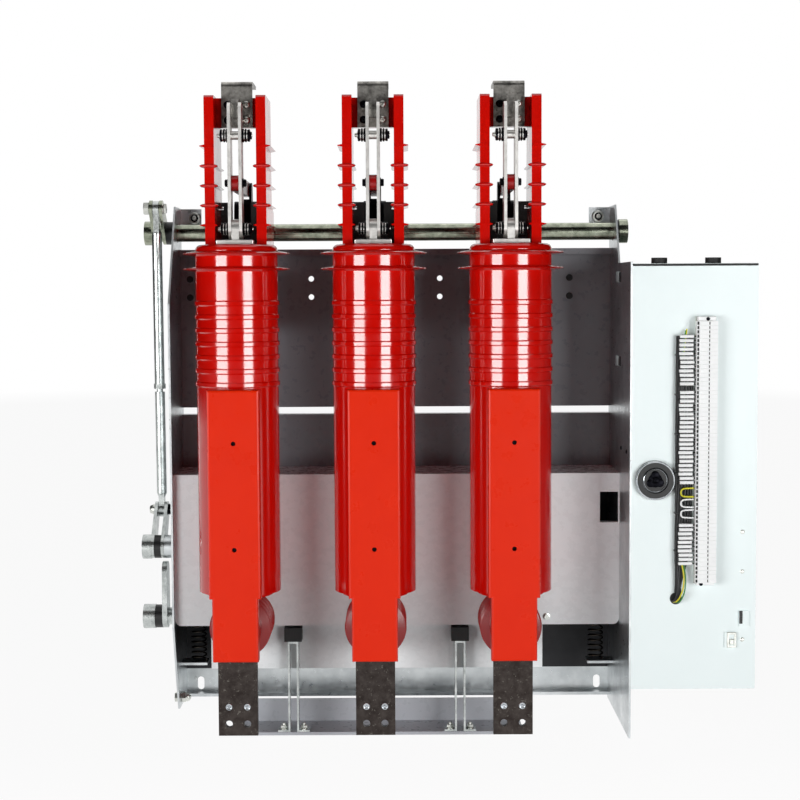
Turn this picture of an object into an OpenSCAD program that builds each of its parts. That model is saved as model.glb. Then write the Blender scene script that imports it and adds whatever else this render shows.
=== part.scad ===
// Three-pole vacuum circuit breaker with an isolating switch above each pole.
// Origin: rear mounting face, on the line of the lower rail's slots, below the middle pole.
// +X runs to the mechanism box, the front faces -Y and +Z is up. Millimetres.

/* [Frame] */
// Inner face of the left side plate, measured left from the middle pole
frame_left = 322; // [310:1:340]
// Inner face of the right side plate, measured right from the middle pole
frame_right = 388; // [370:1:410]
// Thickness of the side plates
plate_t = 3; // [2:0.5:5]
// Depth of the side plates from the mounting face
plate_depth = 150; // [148:1:160]
// Upper edge of the side plates
plate_top = 797; // [792:1:820]
// Depth of the side plates at their upper edge
plate_top_depth = 64; // [62:1:70]
// Height where the slanting front edge of a side plate starts
plate_slant_z = 640; // [600:1:680]
// Depth of the left side plate at its lower edge
plate_foot_depth = 98; // [90:1:110]
// Lower edge of the right side plate, below the rail slots
plate_drop = 28; // [24:1:32]
// Lower edge of the left side plate, below the rail slots
plate_drop_left = 19; // [18.5:0.5:30]
// Thickness of the panels, rail and covers
sheet_t = 2.5; // [1.5:0.5:4]
// Height of the middle of the upper cut-out in the right side plate
cut_upper_z = 680; // [660:1:685]
// Height of the middle of the lower cut-out in the right side plate
cut_lower_z = 546; // [530:1:560]
// Height of these cut-outs
cut_h = 17; // [10:1:24]
// Length of these cut-outs, front to back
cut_len = 62; // [40:1:70]
// Front end of these cut-outs, from the mounting face
cut_y = 149; // [130:1:170]

/* [Panels] */
// Front face of the back panels, from the mounting face
panel_y = 20; // [16:1:28]
// Height where the upper back panel starts
upper_panel_z = 468; // [462:1:480]
// Upper edge of the upper back panel
upper_panel_top = 728; // [722:1:732]
// Gap between the two back panels
panel_gap = 12; // [6:1:20]
// Forward depth of the flange along the upper back panel
panel_flange = 18; // [8:1:20]
// Height of the lip of that flange
panel_lip = 10; // [6:1:14]
// Distance of the inner paired holes from the middle pole
panel_hole_in = 106; // [100:1:110]
// Distance of the outer left pair from the left side plate
panel_hole_inset_left = 16; // [10:1:20]
// Distance of the outer right pair from the right side plate
panel_hole_inset_right = 68; // [50:1:80]
// Bore of the paired holes in the upper back panel
panel_hole_d = 9; // [6:0.5:11]
// Height of the lower hole of each pair
panel_hole_z = 650; // [640:1:660]
// Distance between the two holes of a pair
panel_hole_rise = 30; // [24:1:36]
// Width of a mounting tab
tab_w = 34; // [32:1:40]
// Height of a mounting tab
tab_h = 30; // [26:1:36]
// Bore of the hole in a mounting tab
tab_hole_d = 11; // [9:0.5:13]
// Distance from the left side plate to the mounting holes beside it
mount_inset_left = 23; // [17:1:25]
// Distance from the right side plate to the mounting holes beside it
mount_inset_right = 19; // [17:1:25]

/* [Lower rail and apron] */
// Height of the rail above its slots
rail_rise = 25; // [20:1:30]
// Height of the rail below its slots
rail_drop = 16; // [14:1:20]
// Forward depth of the rail's lower flange
rail_flange = 22; // [15:1:26]
// Length of a mounting slot
slot_len = 22; // [18:1:26]
// Width of a mounting slot
slot_w = 11; // [9:0.5:13]
// Clear gap between the insulator beam and the spring seat at its left
beam_clear = 11; // [5:1:20]
// Half width of the apron
apron_half = 235; // [225:1:250]
// Upper face of the apron's shelf, below the rail slots
apron_drop = 48; // [44:1:56]
// Height of the apron's rear wall above its shelf
apron_rise = 37; // [20:1:44]
// Depth of the apron's shelf
apron_shelf = 72; // [60:1:80]
// Front edge of the apron's shelf, from the mounting face
apron_y = 137; // [135:1:145]
// Front face of the insulator beam, from the mounting face
beam_y = 110; // [106:1:114]
// Underside of the insulator beam
beam_z = 50; // [46:1:56]
// Top of the insulator beam
beam_top = 196; // [192:1:210]

/* [Lower cover] */
// Front face of the lower cover, from the mounting face
cover_y = 138; // [134:1:141]
// Underside of the lower cover
cover_z = 126; // [122:1:130]
// Top of the lower cover
cover_top = 369; // [350:1:380]
// Radius of the lower corners of the cover
cover_corner = 10; // [6:1:20]
// Width of the window at the cover's right end
window_w = 29; // [20:1:36]
// Height of the window
window_h = 49; // [30:1:60]
// Underside of the window
window_z = 290; // [270:1:300]
// Depth of the ledge under the window
window_ledge = 16; // [8:1:24]

/* [Poles] */
// Distance between neighbouring poles
phase_pitch = 210; // [206:1:214]
// Pole axis, from the mounting face
pole_y = 207; // [206:1:210]
// Radius of the pole body
pole_r = 63; // [58:0.5:65]
// Underside of the pole body
pole_z = 198; // [194:1:202]
// Top of the pole head
pole_top = 731; // [728:1:734]
// Radius of the two large sheds
shed_r = 82; // [74:0.5:85]
// Thickness of a large shed at its root
shed_t = 8; // [5:0.5:10]
// Height of the lower large shed
shed_z = 694; // [690:1:697]
// Distance between the two large sheds
shed_pitch = 23.5; // [20:0.5:25]
// Height of the lowest ring on the pole body
ring_z = 519; // [517:1:523]
// Pitch of the rings
ring_pitch = 20.5; // [18:0.5:22]
// Number of rings
ring_count = 7; // [5:1:8]
// Height of one ring
ring_h = 5; // [3:0.5:7]
// How far a ring stands out of the body
ring_out = 2; // [1:0.25:3]

/* [Isolator throat] */
// Clear width between the two throat walls
throat_gap = 64; // [62:1:68]
// Thickness of a throat wall
wall_t = 15; // [12:0.5:17]
// Top of the throat walls
wall_top = 958; // [950:1:970]
// Front edge of the throat walls, ahead of the pole axis
wall_front = 5; // [2:1:10]
// Depth of a throat wall at its top
wall_depth_top = 97; // [90:1:104]
// Depth of a throat wall at its foot
wall_depth_low = 144; // [130:1:148]
// Height up to which a throat wall has its full depth
wall_foot_z = 785; // [775:1:795]
// Height of the lowest rib on a throat wall
rib_z = 761; // [756:1:766]
// Pitch of the ribs
rib_pitch = 30; // [28:0.5:31]
// Number of ribs that run right round a wall
rib_count = 4; // [3:1:5]
// How far a rib stands out of its wall
rib_out = 7; // [4:0.5:8]
// Thickness of a rib at its root
rib_t = 5; // [4:0.5:7]
// Bottom of the bridge behind the fixed contact
bridge_z = 912; // [908:1:918]
// Front face of the barrier between the walls, from the mounting face
barrier_y = 125; // [118:1:126]
// Thickness of that barrier
barrier_t = 12; // [4:1:14]
// Top of that barrier
barrier_top = 800; // [796:1:806]
// Bottom of the barrier's slot for the lever
barrier_slot_z = 766; // [762:1:768]

/* [Isolator] */
// Height of the knife pivots and of the isolating shaft
pivot_z = 755; // [753:1:757]
// Length of a knife's driven arm and of a shaft lever
arm = 70; // [68:1:72]
// Clear gap between the two blades of a knife
blade_gap = 12; // [11:0.5:14]
// Thickness of one blade
blade_t = 4.7; // [4:0.1:6]
// Width of a blade, front to back
blade_w = 30; // [26:1:32]
// Length of a blade above its pivot
blade_len = 191; // [186:1:196]
// Height of the clamping bolt that joins the blades
clamp_z = 897; // [892:1:902]
// Length of the spring stack at each end of the clamping bolt and of the pivot
stack_len = 12; // [8:0.5:12]
// Radius of the pivot pins
pin_r = 5; // [4:0.25:6]
// Radius of the round plate that a knife stands on
base_r = 26; // [22:1:29]
// Isolating shaft, from the mounting face
shaft_y = 44; // [43:1:45]
// Radius of the isolating shaft
shaft_r = 14; // [12:0.5:15]
// Height of a drive link
link_h = 24; // [20:1:26]
// Width of the fixed contact
contact_w = 48; // [44:1:52]
// Thickness of the contact bars
contact_t = 5; // [4:0.5:8]
// Top of the fixed contact
contact_top = 983; // [978:1:990]
// How far the top of the fixed contact reaches back
contact_back = 60; // [40:1:70]
// Height where the contact tongue starts
tongue_z = 925; // [920:1:930]
// Height of the contact tongue
tongue_h = 28; // [20:1:32]
// How far the contact tongue stands forward of the contact bar
tongue_out = 30; // [28:1:32]

/* [Left linkage] */
// Middle of the pull rod, measured left from the middle pole
rod_x = 350; // [348:1:353]
// Radius of the pull rod
rod_r = 8; // [7:0.5:9]
// Distance from the upper pin down to the screwed joint of the pull rod
rod_joint = 290; // [240:5:320]
// Height of the lock nut at that joint
rod_nut_h = 8; // [6:1:12]
// Radius of the upper crank arm
upper_arm = 56; // [54:0.5:57]
// Angle of the upper crank arm, forward of straight up
upper_arm_angle = 47; // [46:0.5:48]
// Radius of the lower crank arm
lower_arm = 70; // [68:0.5:72]
// Angle of the lower crank arm, behind straight up
lower_arm_angle = 39; // [37:0.5:41]
// Drive shaft, from the mounting face
drive_y = 115; // [112:1:116]
// Height of the drive shaft
drive_z = 251; // [248:1:254]
// Height of the interlock shaft
interlock_z = 138; // [134:1:142]
// Thickness of a crank plate
crank_t = 5; // [3:0.5:5.5]

/* [Lower terminals] */
// Width of a lower terminal bar
bar_w = 60; // [56:1:64]
// Thickness of a lower terminal bar
bar_t = 10; // [8:0.5:12]
// Lower end of the bars, below the rail slots
bar_drop = 18; // [14:1:24]
// Front face of the bars, from the mounting face
bar_y = 262; // [260:1:264]
// Spacing of the bar holes, across
bar_hole_x = 28; // [25:0.5:32]
// Spacing of the bar holes, up and down
bar_hole_z = 26.5; // [25:0.5:30]
// Bore of the bar holes
bar_hole_d = 11; // [9:0.5:13]
// Underside of the pole hood
hood_z = 102; // [98:1:106]
// Top of the pole hood
hood_top = 513; // [506:1:513]
// Width of the pole hood
hood_w = 78; // [76:1:82]
// Width of the pole hood below the pole body
hood_foot_w = 69; // [68:1:74]
// Front face of the pole hood, from the mounting face
hood_y = 292; // [286:1:298]
// Height of the lower screw of the pole hood, above the underside of the pole body
hood_screw_low = 75; // [40:1:100]
// Height of the upper screw of the pole hood, above the underside of the pole body
hood_screw_high = 235; // [180:1:270]
// Front face of the boss that the pole hood sits on
boss_y = 271; // [271:0.5:274]

/* [Post insulators] */
// Height of the lower post insulators
post_z = 139; // [137:1:142]
// Height of the upper post insulators
upper_post_z = 645; // [640:1:646]
// Radius of a post insulator's core
post_r = 34; // [30:1:35]
// Radius of a post insulator's sheds
post_shed_r = 48; // [44:1:50]
// Number of sheds on a post insulator
post_sheds = 4; // [3:1:5]

/* [Hangers and springs] */
// Distance from the middle pole to a hanger of the apron
hanger_x = 134; // [130:1:138]
// Clear width between the legs of a hanger
hanger_gap = 11; // [9:1:14]
// Thickness of a hanger's strap
hanger_t = 3; // [2:0.5:4]
// Width of a hanger's strap, front to back
hanger_w = 22; // [18:1:24]
// Length of a hanger's foot
hanger_foot = 17; // [14:1:20]
// Height of the top of a hanger
hanger_top = 99; // [90:1:102]
// Height of the block above a hanger
block_h = 22; // [16:1:23]
// Width of the block above a hanger
block_out = 28; // [22:1:34]
// Radius of an opening spring
spring_r = 13; // [10:0.5:13.5]
// Distance from a side plate to the axis of the spring beside it
spring_inset = 28; // [26:1:34]
// Axis of an opening spring, from the mounting face
spring_y = 60; // [50:1:70]
// Lower end of an opening spring
spring_z = 52; // [48:1:60]
// Length of an opening spring
spring_len = 130; // [110:1:134]
// Thickness of a spring seat
seat_t = 4; // [3:0.5:6]

/* [Mechanism box] */
// Width of the mechanism box
box_w = 190; // [180:1:200]
// Underside of the mechanism box
box_z = 49; // [40:1:60]
// Top of the mechanism box
box_top = 699; // [690:1:705]
// Front face of the mechanism box, from the mounting face
box_y = 252; // [240:1:260]
// Thickness of the front panel of the box
front_t = 4; // [3:0.5:6]
// Distance from the box's left edge to the hand crank socket
socket_inset = 35; // [33:1:40]
// Radius of the opening of the hand crank socket
socket_hole_r = 11; // [8:0.5:14]
// Outer radius of the hand crank socket
socket_r = 30; // [26:0.5:32]
// Height of the hand crank socket
socket_z = 371; // [360:1:380]
// Distance from the box's left edge to the terminal strip
strip_inset = 93; // [90:1:100]
// Width of the terminal strip
strip_w = 33; // [30:1:36]
// Thickness of the rail that carries the terminals
strip_rail = 8; // [6:1:12]
// How far the terminals stand out of the front
strip_out = 20; // [16:1:26]
// Underside of the terminal strip
strip_z = 212; // [205:1:220]
// Top of the terminal strip
strip_top = 620; // [600:1:625]
// Distance from the box's left edge to the wire harness
harness_inset = 70; // [68:1:80]
// Radius of the wire harness
harness_r = 4.5; // [3.5:0.5:5.5]
// Height where the wire harness enters the box
harness_z = 190; // [180:1:200]
// Top of the wire harness
harness_top = 590; // [570:1:600]
// Radius of the harness's bend
harness_bend = 24; // [20:1:30]
// Radius of the rubber grommets
grommet_r = 12; // [10:0.5:13]
// Radius of the hole in a grommet
grommet_hole_r = 7; // [5:0.5:8]
// Height of a grommet
grommet_h = 9; // [6:1:12]
// Distance from the box's left edge to the left grommet
grommet_inset = 44; // [40:1:50]
// Grommets, from the mounting face
grommet_y = 225; // [60:1:230]
// Distance from the box's left edge to the lower latch
latch_lower_inset = 150; // [130:1:155]
// Height of the middle of the lower latch
latch_lower_z = 125; // [80:1:128]
// Distance from the box's left edge to the upper latch
latch_upper_inset = 172; // [165:1:178]
// Height of the middle of the upper latch
latch_upper_z = 158; // [140:1:190]
// Width of a latch
latch_w = 15; // [10:1:18]
// Height of a latch
latch_h = 24; // [18:1:30]
// Thickness of a latch
latch_t = 3; // [2:0.5:4]

/* [Hidden] */
LEFT = -1;
MIDDLE = 0;
RIGHT = 1;
fit = 0.05;
play = 0.3;
gap = 5;
bridge_y = pole_y - 37;
contact_y = bridge_y + contact_t;
overlap = 20;
through = 1;
round_fn = 64;
fine_fn = 32;
plate_left_out = -frame_left - plate_t;
plate_right_out = frame_right + plate_t;
frame_w = frame_left + frame_right;
box_x = plate_right_out;
hanger_y = beam_y + 26;
seat_rim = 2;
beam_half = frame_left - spring_inset - spring_r - seat_rim - beam_clear;
tab_z = plate_top - 1 - tab_h / 2;
panel_lower_top = upper_panel_z - panel_gap;
knife_w = blade_gap + 2 * blade_t;
block_w = blade_gap - 2 * play;
wall_x = throat_gap / 2;
rib_in = rib_out * 0.6;
wall_out_x = wall_x + wall_t;
lever_t = 4;
lever_gap = blade_gap + 2 * play;
lever_w = lever_gap + 2 * lever_t;
hub_r = 21;
rod_pin_y = shaft_y + upper_arm * sin(upper_arm_angle);
rod_pin_z = pivot_z + upper_arm * cos(upper_arm_angle);
foot_pin_y = drive_y - lower_arm * sin(lower_arm_angle);
foot_pin_z = drive_z + lower_arm * cos(lower_arm_angle);
rod_eye_t = 9;
crank_in = rod_eye_t / 2 + 1;
crank_out = crank_in + crank_t;
rod_pin_r = 6;
rod_eye_r = 13;
bush_r = 18.5;
spigot_r = bush_r - 3;
base_t = 4;
interlock_x = -rod_x - crank_in;
collar_w = 12;
interlock_t = 8;
end_hub_r = 19.5;
end_hub_len = 14;
end_hub_gap = 6;
stub_len = 40;

module at(x, y, z) { translate([x, -y, z]) children(); }

// A cylinder along X that starts at x and is centred on depth y and height z
module rod_along_x(x, y, z, r, len, fn = round_fn) {
    at(x, y, z) rotate([0, 90, 0]) cylinder(r = r, h = len, $fn = fn);
}

// A cylinder along Y that starts at depth y and runs back towards the mounting face
module rod_along_y(x, y, z, r, len, fn = round_fn) {
    at(x, y, z) rotate([-90, 0, 0]) cylinder(r = r, h = len, $fn = fn);
}

// A box between two depths, its first corner at the left, the front and the bottom
module slab(x, front, z, w, depth, h) {
    at(x, front, z) cube([w, depth, h]);
}

// An outline drawn as [depth, height] and given a thickness along X
module side_profile(x, t, points) {
    translate([x, 0, 0]) rotate([90, 0, 90]) linear_extrude(t)
        polygon([for (p = points) [-p[0], p[1]]]);
}

// Side plates

// The left plate tapers above and below; the right one steps forward to carry the mechanism box
module plate_outline(x, forward) {
    slant = (plate_depth - plate_top_depth) / (plate_top - plate_slant_z);
    step_depth = plate_top_depth + slant * (plate_top - box_top - 3);
    side_profile(x, plate_t, forward
        ? [[0, -plate_drop], [0, plate_top], [plate_top_depth, plate_top],
           [step_depth, box_top + 3], [box_y, box_top + 3], [box_y, -plate_drop]]
        : [[0, -plate_drop_left], [0, plate_top], [plate_top_depth, plate_top],
           [plate_depth, plate_slant_z], [plate_depth, cover_z], [plate_foot_depth, -plate_drop_left]]);
}

module left_side_plate() {
    boss_end = -rod_x + crank_out + play;
    color("gainsboro") difference() {
        union() {
            plate_outline(plate_left_out, false);
            rod_along_x(boss_end, drive_y, drive_z, bush_r, plate_left_out - boss_end + 1);
        }
        rod_along_x(plate_left_out - through, shaft_y, pivot_z, spigot_r + fit, plate_t + 2 * through);
        rod_along_x(-rod_x, drive_y, drive_z, shaft_r + fit, rod_x - frame_left + through);
    }
}

// The openings through which the mechanism box reaches into the frame
module side_cutouts(x, depth) {
    for (z = [cut_lower_z, cut_upper_z]) slab(x, cut_y, z - cut_h / 2, depth, cut_len, cut_h);
}

module right_side_plate() {
    color("gainsboro") difference() {
        plate_outline(frame_right, true);
        rod_along_x(frame_right - through, shaft_y, pivot_z, spigot_r + fit, plate_t + 2 * through);
        side_cutouts(frame_right - through, plate_t + 2 * through);
    }
}

// Tabs in the mounting plane, one in each upper corner of the frame
module mounting_tabs() {
    color("silver") for (side = [LEFT, RIGHT]) {
        start = side == LEFT ? -frame_left : frame_right - tab_w;
        hole_x = side == LEFT ? -frame_left + mount_inset_left : frame_right - mount_inset_right;
        difference() {
            slab(start, plate_t, tab_z - tab_h / 2, tab_w, plate_t, tab_h);
            rod_along_y(hole_x, plate_t + through, tab_z, tab_hole_d / 2, plate_t + 2 * through);
        }
    }
}

// Back panels

module upper_back_panel() {
    color("lightgray") difference() {
        union() {
            slab(-frame_left, panel_y, upper_panel_z, frame_w, sheet_t, upper_panel_top - upper_panel_z);
            slab(-frame_left, panel_y + panel_flange, upper_panel_top - sheet_t,
                frame_w, panel_flange, sheet_t);
            slab(-frame_left, panel_y + panel_flange, upper_panel_top - panel_lip,
                frame_w, sheet_t, panel_lip);
            slab(-frame_left, panel_y, upper_panel_z, frame_w, panel_y, sheet_t);
        }
        for (x = [-frame_left + panel_hole_inset_left, -panel_hole_in, panel_hole_in,
            frame_right - panel_hole_inset_right], z = [panel_hole_z, panel_hole_z + panel_hole_rise])
            rod_along_y(x, panel_y + through, z, panel_hole_d / 2, sheet_t + 2 * through, fine_fn);
    }
}

module middle_back_panel() {
    color("lightgray") union() {
        slab(-frame_left, panel_y, cover_top - overlap, frame_w, sheet_t,
            panel_lower_top - cover_top + overlap);
        slab(-frame_left, panel_y, panel_lower_top - sheet_t, frame_w, panel_y, sheet_t);
    }
}

module rear_closing_plate() {
    color("dimgray") slab(-frame_left, sheet_t, rail_rise, frame_w, sheet_t,
        panel_lower_top - sheet_t - rail_rise);
}

// Lower frame

module slot_cut(x) {
    reach = (slot_len - slot_w) / 2;
    for (z = [-reach, reach]) rod_along_y(x, sheet_t + through, z, slot_w / 2, sheet_t + 2 * through);
    slab(x - slot_w / 2, sheet_t + through, -reach, slot_w, sheet_t + 2 * through, 2 * reach);
}

module lower_rail() {
    color("gainsboro") difference() {
        union() {
            slab(-frame_left, sheet_t, -rail_drop, frame_w, sheet_t, rail_drop + rail_rise);
            slab(-frame_left, rail_flange, -rail_drop, frame_w, rail_flange, sheet_t);
            slab(-frame_left, rail_flange, -rail_drop - sheet_t, frame_w, sheet_t, 2 * sheet_t);
        }
        slot_cut(-frame_left + mount_inset_left);
        slot_cut(frame_right - mount_inset_right);
    }
}

module lower_apron() {
    color("gray") union() {
        slab(-apron_half, apron_y - apron_shelf + sheet_t, -apron_drop - sheet_t, 2 * apron_half,
            sheet_t, apron_rise + sheet_t);
        slab(-apron_half, apron_y, -apron_drop - sheet_t, 2 * apron_half, apron_shelf, sheet_t);
        slab(-apron_half, apron_y, -apron_drop - 2 * sheet_t, 2 * apron_half, sheet_t, 2 * sheet_t);
    }
}

module insulator_beam() {
    color("lightgray") union() {
        slab(-beam_half, beam_y, beam_z, 2 * beam_half, sheet_t, beam_top - beam_z);
        for (z = [beam_z, beam_top - sheet_t])
            slab(-beam_half, beam_y, z, 2 * beam_half, beam_y - sheet_t, sheet_t);
    }
}

// A folded sheet closed in front and on top, open behind, with a notch for each post insulator
module lower_cover() {
    window_rim = 2;
    color("whitesmoke") difference() {
        union() {
            at(0, cover_y - sheet_t, 0) rotate([90, 0, 0]) linear_extrude(sheet_t)
                polygon(concat([[-frame_left, cover_top], [frame_right, cover_top]],
                    [for (p = arc_points(0, cover_corner, 0, -90))
                        [frame_right - cover_corner + p[0], cover_z + cover_corner + p[1]]],
                    [for (p = arc_points(0, cover_corner, -90, -180))
                        [-frame_left + cover_corner + p[0], cover_z + cover_corner + p[1]]]));
            slab(-frame_left, cover_y, cover_top - sheet_t, frame_w, cover_y - panel_y, sheet_t);
            slab(-frame_left + cover_corner, cover_y, cover_z, frame_w - 2 * cover_corner,
                cover_y - beam_y - play, sheet_t);
            slab(frame_right - window_w - window_rim, cover_y, window_z - sheet_t, window_w,
                window_ledge, sheet_t);
        }
        for (p = [LEFT, MIDDLE, RIGHT]) {
            rod_along_y(p * phase_pitch, cover_y + through, post_z, post_r + gap, cover_y);
            slab(p * phase_pitch - post_r - gap, cover_y + through, cover_z - through,
                2 * (post_r + gap), cover_y, post_z - cover_z + through);
        }
        slab(frame_right - window_w - window_rim, cover_y + through, window_z, window_w,
            sheet_t + 2 * through, window_h);
    }
}

// Poles

function ring_profile(z, r, out, h) = [[r, z - h / 2 - out], [r + out, z - h / 2],
    [r + out, z + h / 2], [r, z + h / 2 + out]];
function shed_profile(z, r, out, t) = [[r, z - t / 2], [out - 2, z - 1.2], [out, z],
    [out - 2, z + 1.2], [r, z + t / 2]];

module pole_body() {
    foot = 6;
    shoulder = 9;
    rings = [for (i = [0 : ring_count - 1]) for (p = ring_profile(ring_z + i * ring_pitch, pole_r,
        ring_out, ring_h)) p];
    sheds = [for (i = [0, 1]) for (p = shed_profile(shed_z + i * shed_pitch, pole_r, shed_r, shed_t)) p];
    arc = [for (a = [0 : 15 : 90]) [pole_r - shoulder + shoulder * cos(a),
        pole_top - shoulder + shoulder * sin(a)]];
    rotate_extrude($fn = 96)
        polygon(concat([[0, pole_z - foot], [pole_r - 12, pole_z - foot], [pole_r - 12, pole_z],
            [pole_r, pole_z]], rings, sheds, arc, [[0, pole_top]]));
}

// A rib round a throat wall, or on its outer side only, with an edge that thins outwards
module throat_rib(side, z, both) {
    edge = 1.2;
    inner = both ? wall_x - rib_in : wall_x + 2;
    outer = wall_out_x + rib_out;
    front = pole_y + wall_front + 2.5;
    at(0, front, z) rotate([-90, 0, 0]) linear_extrude(wall_depth_top + 6)
        polygon([[side * inner, edge / 2], [side * (wall_x + 2), rib_t / 2],
            [side * (wall_out_x - 2), rib_t / 2], [side * outer, edge / 2], [side * outer, -edge / 2],
            [side * (wall_out_x - 2), -rib_t / 2], [side * (wall_x + 2), -rib_t / 2],
            [side * inner, -edge / 2]]);
}

// Two walls on the head that flank the knife, tied by a bridge at the top
module throat() {
    front = pole_y + wall_front;
    foot = pole_top - 20;
    chamfer = 3;
    for (side = [LEFT, RIGHT]) {
        x = side == LEFT ? -wall_out_x : wall_x;
        side_profile(x, wall_t, [[front, foot], [front, wall_top - chamfer], [front - chamfer, wall_top],
            [front - wall_depth_top, wall_top], [front - wall_depth_top - 8, wall_foot_z + 12],
            [front - wall_depth_low, wall_foot_z], [front - wall_depth_low, foot]]);
        for (i = [0 : rib_count - 1]) throat_rib(side, rib_z + i * rib_pitch, true);
        throat_rib(side, rib_z + rib_count * rib_pitch, false);
    }
    slab(-wall_x, bridge_y, bridge_z, throat_gap, wall_t, wall_top - bridge_z);
}

// A black barrier that closes the throat at its rear, notched for the ribs, with a slot for the lever
module throat_barriers() {
    notch_w = rib_in + fit + through;
    color("black") for (p = [LEFT, MIDDLE, RIGHT]) at(p * phase_pitch, 0, 0) difference() {
        slab(-wall_x, barrier_y, pole_top, throat_gap, barrier_t, barrier_top - pole_top);
        for (i = [0 : rib_count - 1]) for (x = [-wall_x - through, wall_x - rib_in - fit])
            slab(x, barrier_y + through, rib_z + i * rib_pitch - rib_t / 2 - fit, notch_w,
                barrier_t + 2 * through, rib_t + 2 * fit);
        slab(-lever_w / 2 - gap, barrier_y + through, barrier_slot_z, lever_w + 2 * gap,
            barrier_t + 2 * through, barrier_top - barrier_slot_z + through);
    }
}

module pole(p) {
    boss_w = hood_foot_w - 6;
    color("red") at(p * phase_pitch, 0, 0) union() {
        at(0, pole_y, 0) pole_body();
        throat();
        slab(-boss_w / 2, boss_y, hood_z, boss_w, boss_y - bar_y + bar_t + 8, pole_z - hood_z + 20);
        slab(-boss_w / 2, boss_y, pole_z, boss_w, boss_y - pole_y, hood_top - pole_z - 6);
        rod_along_y(0, pole_y, upper_post_z, post_r + 6, pole_r + 10);
    }
}

// A moulded hood over the front of the pole, bevelled all round its face
module pole_hood(p) {
    bevel = 3;
    corner = 8;
    screw_r = 3.5;
    screw_depth = 6;
    color("orangered") at(p * phase_pitch, 0, 0) difference() {
        union() {
            hood_block(hood_w, pole_z, hood_top, bevel, corner);
            hood_block(hood_foot_w, hood_z, pole_z + 1, bevel, 0);
        }
        for (z = [pole_z + hood_screw_low, pole_z + hood_screw_high])
            rod_along_y(0, hood_y + through, z, screw_r, screw_depth + through, fine_fn);
    }
}

module hood_block(w, low, high, bevel, corner) {
    hull() {
        at(0, hood_y - bevel, 0) hood_outline(w, low, high, corner, hood_y - bevel - boss_y);
        at(0, hood_y, 0) hood_outline(w - 2 * bevel, low + (corner > 0 ? 0 : bevel),
            high - (corner > 0 ? bevel : 0), corner, bevel);
    }
}

module hood_outline(w, low, high, corner, t) {
    rotate([90, 0, 0]) translate([0, 0, -t]) linear_extrude(t)
        polygon([[-w / 2, low], [w / 2, low], [w / 2, high - corner], [w / 2 - corner, high],
            [-w / 2 + corner, high], [-w / 2, high - corner]]);
}

// Post insulators, axis front to back

module post_insulator(front, rear, z) {
    plain_front = 30;
    plain_rear = 10;
    root_t = 8;
    span = front - rear;
    step = (span - plain_front - plain_rear) / post_sheds;
    sheds = [for (i = [0 : post_sheds - 1]) for (p = shed_profile(plain_front + i * step, post_r,
        post_shed_r, root_t)) p];
    at(0, front, z) rotate([-90, 0, 0]) rotate_extrude($fn = round_fn)
        polygon(concat([[0, 0], [post_r, 0]], sheds, [[post_r, span], [0, span]]));
}

module lower_insulators() {
    color("firebrick") for (p = [LEFT, MIDDLE, RIGHT]) at(p * phase_pitch, 0, 0)
        post_insulator(bar_y - bar_t - 8, beam_y, post_z);
}

module upper_insulators() {
    color("firebrick") for (p = [LEFT, MIDDLE, RIGHT]) at(p * phase_pitch, 0, 0)
        post_insulator(pole_y - pole_r - 10, panel_y, upper_post_z);
}

// Terminals and isolator

module lower_terminals() {
    color("dimgray") for (p = [LEFT, MIDDLE, RIGHT]) at(p * phase_pitch, 0, 0) difference() {
        slab(-bar_w / 2, bar_y, -bar_drop, bar_w, bar_t, bar_drop + hood_z);
        for (x = [-1, 1], z = [0, bar_hole_z])
            rod_along_y(x * bar_hole_x / 2, bar_y + through, z, bar_hole_d / 2, bar_t + 2 * through);
    }
}

// A bar bolted to the throat's bridge, bent back at the top, with a tongue that enters the knife
module fixed_contacts() {
    bend = 8;
    color("silver") for (p = [LEFT, MIDDLE, RIGHT]) at(p * phase_pitch, 0, 0) union() {
        slab(-contact_w / 2, contact_y, bridge_z, contact_w, contact_t, contact_top - bend - bridge_z);
        intersection() {
            rod_along_x(-contact_w / 2, contact_y - bend, contact_top - bend, bend, contact_w);
            slab(-contact_w / 2, contact_y, contact_top - bend, contact_w, bend, bend);
        }
        slab(-contact_w / 2, contact_y - bend, contact_top - contact_t, contact_w, contact_back, contact_t);
        slab(-block_w / 2, contact_y + tongue_out, tongue_z, block_w, tongue_out, tongue_h);
    }
}

module knife_bases() {
    color("silver") for (p = [LEFT, MIDDLE, RIGHT]) at(p * phase_pitch, 0, 0) difference() {
        union() {
            at(0, pole_y, pole_top) cylinder(r = base_r, h = base_t, $fn = round_fn);
            slab(-block_w / 2, pole_y + blade_w / 2, pole_top + base_t, block_w, blade_w,
                pivot_z - pole_top - base_t);
            rod_along_x(-block_w / 2, pole_y, pivot_z, blade_w / 2, block_w);
        }
        rod_along_x(-block_w, pole_y, pivot_z, pin_r + fit, 2 * block_w);
    }
}

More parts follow.
